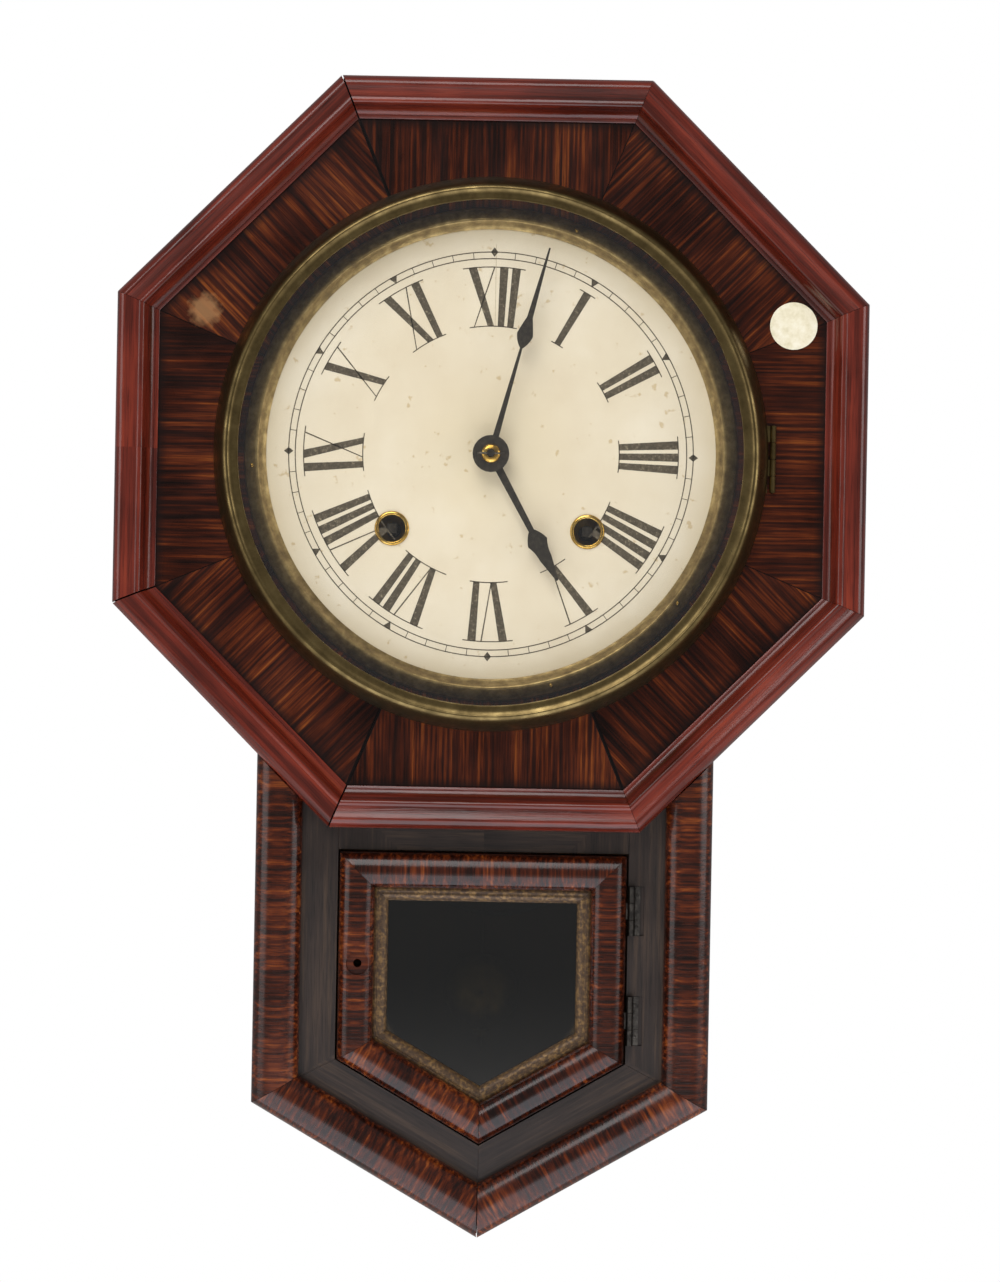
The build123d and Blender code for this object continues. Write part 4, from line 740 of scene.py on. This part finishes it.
# Octagon moulding
print("octagon moulding")
octagonValues = {
    "across": 307.0,
    "base": 90.0,
    "crack": 0.15,
    "openMitres": (2, 4, 5),
    # (inwards from the outer side, above the panel)
    "profile": [
        (0, 0), (0, 4.4), (0.15, 5.6), (0.55, 7.0), (1.2, 8.3), (2.0, 9.2), (2.9, 9.8), (3.7, 10.0), (4.4, 9.85),
        (5.2, 9.5), (6.6, 9.05), (8.2, 8.6), (9.2, 8.4), (9.7, 8.65), (10.4, 8.8), (11.0, 8.6), (11.5, 8.1),
        (11.9, 7.2), (12.3, 5.9), (12.9, 4.4), (13.8, 3.2), (14.9, 2.5), (15.4, 2.3), (15.5, 1.5), (16.6, 1.3),
        (17.0, 1.0), (17.0, 0),
    ],
}
half = octagonValues["across"] / 2
octagon = [
    around(half / math.cos(math.radians(22.5)), 90 - (22.5 + 45 * side)) for side in range(8)
]
octagonRails = [
    railPiece(
        octagon, side, octagonValues["base"], octagonValues["profile"], octagonValues["crack"],
        octagonValues["openMitres"],
    )
    for side in range(8)
]
settle(gather(octagonRails), "octagonMouldingRails", mahogany, "case", ["octagon_moulding"], 32)

# Drop mouldings, half round, scribed to the octagon
print("drop mouldings")
dropValues = {
    "halfWidth": 93.5, "top": 105.0, "tip": 320.9, "width": 19.0, "edge": 2.5, "rise": 8.0,
    "base": 86.0, "crack": 0.15,
}


def halfRoundProfile(width, edge, rise, steps=18):
    points = [(width, 0), (0, 0)]
    for step in range(steps + 1):
        angle = math.pi * step / steps
        points.append((width / 2 - width / 2 * math.cos(angle), edge + rise * math.sin(angle) ** 0.92))
    return points


dropOutline = shield(dropValues["halfWidth"], dropValues["top"], dropValues["tip"])
dropProfile = halfRoundProfile(dropValues["width"], dropValues["edge"], dropValues["rise"])
dropRails = [
    railPiece(
        dropOutline, side, dropValues["base"], dropProfile, dropValues["crack"], (2,) if side == 1 else ()
    )
    for side in range(4)
]
dropPiece = gather(dropRails)
scribeValues = {"clearance": 0.2, "depth": 92.0, "thickness": 40.0}
scribeMiddle = place(0, scribeValues["depth"], 0)
begin()
bpy.ops.mesh.primitive_cylinder_add(
    vertices=8, radius=(half + scribeValues["clearance"]) / math.cos(angleStep / 2) / 1000,
    depth=scribeValues["thickness"] / 1000, rotation=(math.radians(90), 0, 0), location=scribeMiddle,
)
keepOut = bpy.context.object
bpy.ops.object.transform_apply(location=True, rotation=True, scale=True)
firstCorner = keepOut.data.vertices[0].co - scribeMiddle
tilt = math.atan2(firstCorner.z, firstCorner.x)
keepOut.data.transform(
    Matrix.Translation(scribeMiddle)
    @ Matrix.Rotation(-(math.radians(22.5) - tilt), 4, "Y")
    @ Matrix.Translation(-scribeMiddle)
)
cutAway(dropPiece, keepOut)
settle(dropPiece, "dropMouldingRails", dropVeneer, "case", ["drop_moulding"], 32)

# Door rails with the hole of the lost knob
print("door")
doorValues = {
    "halfWidth": 58.8, "top": 163.7, "tip": 282.7, "width": 14.5, "back": 78.5, "edge": 9.0,
    "rise": 6.5, "knobX": -50.8, "knobHeight": -209.0, "knobHole": 1.7, "knobRecess": 4.7,
    "recessFloor": 92.2, "crack": 0.15,
}
doorOutline = shield(doorValues["halfWidth"], doorValues["top"], doorValues["tip"])
doorProfile = halfRoundProfile(doorValues["width"], doorValues["edge"], doorValues["rise"])
doorRails = [
    railPiece(doorOutline, side, doorValues["back"], doorProfile, doorValues["crack"])
    for side in range(5)
]
doorPiece = gather(doorRails)
cutAway(
    doorPiece,
    roundCutter(doorValues["knobHole"], 70, 110, doorValues["knobX"], doorValues["knobHeight"], 32),
)
cutAway(
    doorPiece,
    roundCutter(
        doorValues["knobRecess"], doorValues["recessFloor"], 110, doorValues["knobX"],
        doorValues["knobHeight"],
    ),
)
settle(doorPiece, "doorRails", doorVeneer, "door", ["door_frame"], 32)

# worn gilt bead round the glass
beadValues = {"base": 81.8, "crack": 0.1}
beadProfile = [
    (5.5, 0), (0, 0), (0, 4.0), (0.5, 4.2), (1.2, 4.15), (1.5, 3.6), (1.9, 3.5), (2.6, 3.7), (3.4, 3.5),
    (4.2, 2.9), (4.9, 2.1), (5.3, 1.4), (5.5, 0.9),
]
beadInset = doorValues["width"]
beadOutline = shield(
    doorValues["halfWidth"] - beadInset,
    doorValues["top"] + beadInset,
    doorValues["tip"] - beadInset / math.cos(math.radians(30)),
)
beadRails = [
    railPiece(beadOutline, side, beadValues["base"], beadProfile, beadValues["crack"])
    for side in range(5)
]
settle(gather(beadRails), "giltBeads", gilt, "door", ["door_beads"], 32)

# Bezel and sight ring
print("bezel")
bezelProfile = [
    (111.6, 91.2), (113.2, 91.2), (113.4, 91.4), (113.4, 92.6), (113.2, 93.0), (113.0, 94.6), (112.6, 97.0),
    (111.9, 99.6), (110.9, 102.3), (109.7, 104.7), (108.8, 106.1), (108.0, 106.95), (107.4, 107.25),
    (107.0, 107.3), (106.6, 107.1), (106.2, 106.7), (105.0, 106.45), (103.8, 106.3), (103.2, 106.35),
    (102.7, 106.2), (102.5, 105.9), (102.5, 105.2), (104.8, 105.2), (106.0, 103.6), (108.6, 99.0),
]
settle(
    turnedRing(bezelProfile, steps=192), "turnedBezel", agedBrass, "bezel_assembly",
    ["bezel"], 38,
)

sightProfile = [
    (101.0, 90.6), (101.0, 91.0), (100.4, 92.2), (99.0, 93.4), (97.6, 94.3), (96.4, 94.9), (95.7, 95.1),
    (95.2, 94.95), (94.8, 94.5), (94.2, 93.3), (93.4, 92.3), (92.6, 91.6), (92.2, 91.35), (92.0, 91.2),
    (92.0, 90.6),
]
sightRing = turnedRing(sightProfile, steps=192)
settle(sightRing, "turnedSightRing", sightBrass, "case", ["sight_ring"], 38)

# small round-headed pins that hold the sight ring
pinValues = {"bearings": (164.4, 127.6, 266.2, 20.0), "circle": 97.6, "radius": 0.8}
ringPins = []
for bearing in pinValues["bearings"]:
    x, z = around(pinValues["circle"], bearing)
    radius = pinValues["radius"]
    ringPins.append(
        turnedRing(
            [(0.001, 93.2), (radius, 93.2), (radius, 94.3), (radius * 0.75, 94.75), (0.001, 94.95)],
            (x, z), 16,
        ),
    )
settle(gather(ringPins), "sightRingPins", brightBrass, "case")

# Grommets, collet and pin
print("small brass")
grommetProfile = [
    (5.45, 89.0), (6.1, 89.0), (6.1, 90.6), (7.1, 90.6), (7.1, 90.8), (6.9, 91.15), (6.5, 91.4),
    (6.0, 91.5), (5.7, 91.42), (5.5, 91.2), (5.45, 90.9),
]
grommets = [turnedRing(grommetProfile, (x, -31.0), 72) for x in (-40.0, 40.0)]
settle(gather(grommets), "windingGrommetRings", brightBrass, "case", ["winding_grommets"])

colletProfile = [
    (1.72, 98.7), (3.9, 98.7), (4.0, 98.85), (4.0, 99.1), (3.8, 99.5), (3.4, 99.9), (2.8, 100.2),
    (2.2, 100.36), (1.72, 100.4),
]
settle(
    turnedRing(colletProfile, steps=64), "domedCollet", brightBrass, "minute_hand_assembly",
    ["hand_collet"],
)

taperPin = {"length": 11.0, "thick": 0.5, "thin": 0.38, "depth": 100.9, "tilt": 8.5}
begin()
bpy.ops.mesh.primitive_cone_add(
    vertices=20, radius1=taperPin["thick"] / 1000, radius2=taperPin["thin"] / 1000,
    depth=taperPin["length"] / 1000, rotation=(0, math.radians(90), 0),
    location=place(0, taperPin["depth"], 0),
)
pinPiece = bpy.context.object
softenEdges(pinPiece, 0.12)
settle(pinPiece, "taperPin", darkSteel, "minute_hand_assembly", ["hand_pin"])

# Dial print
print("dial print")
dialValues = {
    "face": 90.6, "lift": 0.05, "outer": 82.8, "inner": 80.1, "line": 0.42, "hair": 0.3,
    "numeralInner": 52.5, "numeralOuter": 76.7, "stroke": 3.0, "gap": 1.45, "thin": 0.5, "wide": 10.2,
    "serif": 0.42, "serifReach": 1.7,
}


def numeralPoint(bearing, across, radius):
    # across is measured clockwise at the middle of the numeral; strokes draw together towards the centre
    middle = (dialValues["numeralInner"] + dialValues["numeralOuter"]) / 2
    squeeze = 1 + 0.75 * (radius - middle) / middle
    angle = math.radians(90 - bearing)
    out = Vector((math.cos(angle), math.sin(angle)))
    side = Vector((math.sin(angle), -math.cos(angle)))
    spot = out * math.sqrt(max(radius ** 2 - (across * squeeze) ** 2, 1)) + side * across * squeeze
    return (spot.x, spot.y)


printFaces = []


def ringLine(radius, width, steps=240):
    for step in range(steps):
        a, b = 360 * step / steps, 360 * (step + 1) / steps
        printFaces.append([
            around(radius - width / 2, a), around(radius + width / 2, a),
            around(radius + width / 2, b), around(radius - width / 2, b),
        ])


def arcLine(bearing, left, right, radius, width, steps=6):
    for step in range(steps):
        a = left + (right - left) * step / steps
        b = left + (right - left) * (step + 1) / steps
        printFaces.append([
            numeralPoint(bearing, a, radius - width / 2), numeralPoint(bearing, a, radius + width / 2),
            numeralPoint(bearing, b, radius + width / 2), numeralPoint(bearing, b, radius - width / 2),
        ])


def slantStroke(bearing, foot, head, width):
    # stroke from the inner to the outer serif, foot and head are its middles
    low, high = dialValues["numeralInner"], dialValues["numeralOuter"]
    printFaces.append([
        numeralPoint(bearing, foot - width / 2, low), numeralPoint(bearing, head - width / 2, high),
        numeralPoint(bearing, head + width / 2, high), numeralPoint(bearing, foot + width / 2, low),
    ])


def drawNumeral(hour, letters):
    widths = {"I": dialValues["stroke"], "V": dialValues["wide"], "X": dialValues["wide"]}
    total = sum(widths[letter] for letter in letters) + dialValues["gap"] * (len(letters) - 1)
    bearing = hour * 30
    at = -total / 2
    for letter in letters:
        width = widths[letter]
        thick, thin = dialValues["stroke"], dialValues["thin"]
        if letter == "I":
            slantStroke(bearing, at + width / 2, at + width / 2, thick)
        elif letter == "V":
            slantStroke(bearing, at + width / 2, at + thick / 2 + 0.3, thick)
            slantStroke(bearing, at + width / 2 + thick / 2 - thin, at + width - thin, thin)
        else:
            slantStroke(bearing, at + width - thick / 2 - 0.3, at + thick / 2 + 0.3, thick)
            slantStroke(bearing, at + thin, at + width - thin, thin)
        at += width + dialValues["gap"]
    for radius in (dialValues["numeralInner"], dialValues["numeralOuter"]):
        reach = total / 2 + dialValues["serifReach"]
        arcLine(bearing, -reach, reach, radius, dialValues["serif"])


ringLine(dialValues["outer"], dialValues["line"])
ringLine(dialValues["inner"], dialValues["line"])
for minute in range(60):
    bearing = minute * 6
    if minute % 15 == 0:
        middle = dialValues["outer"]
        printFaces.append([
            around(middle - 1.95, bearing), around(middle, bearing - 1.05),
            around(middle + 1.95, bearing), around(middle, bearing + 1.05),
        ])
    elif minute % 5 == 0:
        printFaces.append([
            around(dialValues["inner"] - 0.4, bearing), around(dialValues["outer"] + 0.1, bearing - 1.2),
            around(dialValues["outer"] + 0.1, bearing + 1.2),
        ])
    else:
        halfAngle = math.degrees(dialValues["hair"] / 2 / dialValues["outer"])
        printFaces.append([
            around(dialValues["inner"], bearing - halfAngle),
            around(dialValues["outer"], bearing - halfAngle),
            around(dialValues["outer"], bearing + halfAngle),
            around(dialValues["inner"], bearing + halfAngle),
        ])
numerals = ["I", "II", "III", "IIII", "V", "VI", "VII", "VIII", "IX", "X", "XI", "XII"]
for hour, letters in enumerate(numerals, 1):
    drawNumeral(hour, letters)


def flatPrint(name, faces, material, height):
    # a print is one sheet of small faces, a hair above the paper
    begin()
    bpy.ops.mesh.primitive_plane_add(size=0.001)
    sheet = bpy.context.object
    editing(True)
    selectAll()
    bpy.ops.mesh.delete(type="VERT")
    mesh = bmesh.from_edit_mesh(sheet.data)
    for corners in faces:
        made = mesh.faces.new([mesh.verts.new(place(x, height, z)) for x, z in corners])
        made.normal_update()
        if made.normal.y > 0:
            made.normal_flip()
    bmesh.update_edit_mesh(sheet.data)
    selectAll()
    bpy.ops.mesh.remove_doubles(threshold=0.000002)
    editing(False)
    return settle(sheet, name, material, "case")


flatPrint("dialPrint", printFaces, ink, dialValues["face"] + dialValues["lift"])
pencilValues = {"left": 0.6, "right": 0.85, "low": 52.0, "high": 86.0, "lift": 0.03}
pencilFaces = [[
    (pencilValues["left"], pencilValues["low"]), (pencilValues["right"], pencilValues["low"]),
    (pencilValues["right"], pencilValues["high"]), (pencilValues["left"], pencilValues["high"]),
]]
flatPrint("dialPencilLine", pencilFaces, pencil, dialValues["face"] + pencilValues["lift"])

# Paper label on the panel, left blank
print("label")
labelValues = {
    "x": 123.0, "height": 54.8, "depth": 90.02, "radius": 9.7, "thickness": 0.2, "rim": 0.6, "ring": 3.0
}
begin()
bpy.ops.mesh.primitive_circle_add(vertices=64, radius=labelValues["radius"] / 1000, fill_type="NGON")
label = bpy.context.object
editing(True)
selectAll()
bpy.ops.mesh.inset(thickness=labelValues["rim"] / 1000, depth=0)
bpy.ops.mesh.inset(thickness=labelValues["ring"] / 1000, depth=0)
selectAll()
bpy.ops.mesh.extrude_region_move(TRANSFORM_OT_translate={"value": (0, 0, labelValues["thickness"] / 1000)})
selectAll()
bpy.ops.mesh.normals_make_consistent(inside=False)
editing(False)
label.rotation_euler = (math.radians(90), 0, 0)
label.location = place(labelValues["x"], labelValues["depth"], labelValues["height"])
settle(label, "paperLabel", stickerPaper, "case")

# Gong wire and bob
print("gong and bob")
gongValues = {
    "x": 6.7, "height": -147.7, "outer": 49.7, "pitch": 7.0, "turns": 4.0, "depth": 15.25, "wire": 1.1
}
begin()
bpy.ops.curve.primitive_bezier_curve_add()
wire = bpy.context.object
wire.data.splines.clear()
spline = wire.data.splines.new("NURBS")
stepsPerTurn = 24
total = int(gongValues["turns"] * stepsPerTurn)
inner = gongValues["outer"] - gongValues["pitch"] * gongValues["turns"]
spline.points.add(total + 1)
centre = (gongValues["x"], gongValues["height"])
for step in range(total + 1):
    radius = (inner + gongValues["pitch"] * step / stepsPerTurn) * 1.003
    x, z = around(radius, 360 * step / stepsPerTurn, centre)
    spline.points[step + 1].co = (*place(x, gongValues["depth"], z), 1)
spline.points[0].co = (*place(centre[0], gongValues["depth"], centre[1] + 3.0), 1)
spline.order_u = 3
spline.use_endpoint_u = True
wire.data.dimensions = "3D"
wire.data.bevel_depth = gongValues["wire"] / 1000
wire.data.bevel_resolution = 3
wire.data.resolution_u = 3
bpy.ops.object.convert(target="MESH")
gongWire = bpy.context.object
hub = turnedRing(
    [(0.001, 14.0), (4.6, 14.0), (5.0, 14.4), (5.0, 16.0), (4.6, 16.4), (0.001, 16.5)], centre, 32
)
settle(gather([gongWire, hub]), "gongWireCoil", gongSteel, "case", ["gong_coil"])

bobValues = {"height": -226.0, "radius": 16.0, "depth": 26.0}
bobProfile = [(0.85, 21.0)]
for step in range(1, 13):
    angle = math.pi * step / 13
    bobProfile.append(
        (bobValues["radius"] * math.sin(angle) ** 0.55, bobValues["depth"] - 5.0 * math.cos(angle))
    )
bobProfile.append((0.85, 31.0))
settle(
    turnedRing(bobProfile, (0, bobValues["height"]), 72), "lensBob", bobBrass, "pendulum",
    ["pendulum_bob"], 50,
)

# Screws
print("screws")


def screwHead(x, height, depth, radius, towards=1, slotTurn=20.0):
    # domed head with a sawn slot; towards is 1 for a head that faces the room
    begin()
    rise = radius * 0.45
    ring = turnedRing(
        [
            (0.0005, depth), (radius, depth), (radius, depth + towards * rise * 0.35),
            (radius * 0.75, depth + towards * rise * 0.85), (0.0005, depth + towards * rise),
        ],
        (x, height), 24,
    )
    begin()
    bpy.ops.mesh.primitive_cube_add(size=1)
    saw = bpy.context.object
    saw.scale = (radius * 2.6 / 1000, rise / 1000, radius * 0.26 / 1000)
    saw.rotation_euler = (0, math.radians(slotTurn), 0)
    saw.location = place(x, depth + towards * rise * 1.05, height)
    bpy.ops.object.transform_apply(location=True, rotation=True, scale=True)
    cutAway(ring, saw)
    return ring


buttScrewValues = {
    "x": 63.0, "drops": (22.5, 67.5), "spread": 6.5, "depth": 86.1, "radius": 0.85, "turn": 35
}
frontScrews = [
    screwHead(
        buttScrewValues["x"], -doorValues["top"] - drop + up, buttScrewValues["depth"],
        buttScrewValues["radius"], 1, buttScrewValues["turn"] * up,
    )
    for drop in buttScrewValues["drops"]
    for up in (-buttScrewValues["spread"], buttScrewValues["spread"])
]
settle(gather(frontScrews), "buttScrews", darkSteel, "case")
footScrewValues = {"depth": 35.6, "radius": 2.2, "turn": 30}
footScrews = [
    screwHead(x, height, footScrewValues["depth"], footScrewValues["radius"], 1, footScrewValues["turn"] + x)
    for x, height in ((-30.0, 39.5), (30.0, 39.5), (-54.0, -55.0), (54.0, -55.0))
]
settle(gather(footScrews), "movementScrews", darkSteel, "case")
nutValues = {"radius": 4.2, "thickness": 2.8, "depth": 66.4, "edge": 0.35}
pillarNuts = []
for x, height in ((-24, 39.5), (24, 39.5), (-60, -55), (60, -55)):
    begin()
    bpy.ops.mesh.primitive_cylinder_add(
        vertices=6, radius=nutValues["radius"] / 1000, depth=nutValues["thickness"] / 1000,
        rotation=(math.radians(90), 0, 0), location=place(x, nutValues["depth"], height),
    )
    nut = bpy.context.object
    bpy.ops.object.transform_apply(location=True, rotation=True, scale=True)
    softenEdges(nut, nutValues["edge"])
    pillarNuts.append(nut)
settle(gather(pillarNuts), "pillarNuts", darkSteel, "case")


# Stage, light and camera
print("stage")
stageValues = {"height": -0.62, "backEdge": 0.55, "size": 8.0, "room": "#f4f5f7", "roomLight": 0.3}   # metres


def makeFloorMaterial():
    material, shader = newMaterial("paleFloor", {"Base Color": paint("#f4f3f0"), "Roughness": 0.85})
    coords = addNode(material, "TexCoord")
    grain = addNode(material, "TexNoise", {"Scale": 1000 / 16.0}, {"Vector": coords.outputs["Object"]})
    bump = addNode(material, "Bump", {"Strength": 0.1, "Distance": 0.0002}, {"Height": grain})
    join(material, bump, shader, "Normal")
    return material


begin()
# the floor stops behind the clock, so that from the front only the white room shows round it
bpy.ops.mesh.primitive_plane_add(
    size=stageValues["size"],
    location=(0, stageValues["backEdge"] - stageValues["size"] / 2, stageValues["height"]),
)
floor = bpy.context.object
floor.name = "floor"
floor.data.materials.append(makeFloorMaterial())

# the camera sees the room as plain white, while its light on the object stays soft and low
world = bpy.data.worlds.new("softRoom")
bpy.context.scene.world = world
world.use_nodes = True
background = world.node_tree.nodes["Background"]
background.inputs["Color"].default_value = paint(stageValues["room"])
background.inputs["Strength"].default_value = stageValues["roomLight"]
whiteRoom = addNode(world, "Background", {"Color": (1, 1, 1, 1), "Strength": 1.0})
rays = addNode(world, "LightPath")
room = addNode(world, "MixShader", {}, {0: rays.outputs["Is Camera Ray"], 1: background, 2: whiteRoom})
join(world, room, world.node_tree.nodes["World Output"], "Surface")

lampValues = {
    # name: place, aim, size, power, colour
    "above": ((-0.35, -1.1, 0.95), (0, -0.1, -0.15), 1.1, 19.0, "#ffffff"),
    "below": ((0.0, -0.45, -0.59), (0, -0.44, 0.5), 0.7, 3.4, "#eef3ff"),
    "left": ((-1.5, -0.7, -0.1), (0, -0.1, -0.2), 0.9, 6.0, "#ffffff"),
    "right": ((1.5, -0.6, 0.0), (0, -0.1, -0.2), 0.9, 8.0, "#ffffff"),
}
for name, (spot, aim, size, power, colour) in lampValues.items():
    begin()
    bpy.ops.object.light_add(type="AREA", location=spot)
    lamp = bpy.context.object
    lamp.name = name
    lamp.data.shape = "SQUARE"
    lamp.data.size = size
    lamp.data.energy = power
    lamp.data.color = paint(colour)[:3]
    lamp.visible_camera = False
    lamp.rotation_euler = (Vector(aim) - Vector(spot)).to_track_quat("-Z", "Y").to_euler()

cameraValues = {
    "lens": 100.0, "distance": 1.453, "aimX": 5.1, "aimHeight": -76.3, "plane": 95.0, "roll": 1.05
}
bpy.ops.object.camera_add()
camera = bpy.context.object
camera.data.lens = cameraValues["lens"]
camera.data.sensor_width = 36.0
aim = place(cameraValues["aimX"], cameraValues["plane"], cameraValues["aimHeight"])
camera.matrix_world = (
    Matrix.Translation(aim + Vector((0, -cameraValues["distance"], 0)))
    @ Matrix.Rotation(math.radians(90), 4, "X")
    @ Matrix.Rotation(math.radians(cameraValues["roll"]), 4, "Z")
)
bpy.context.scene.camera = camera
bpy.context.scene.view_settings.view_transform = "Standard"

print("done")
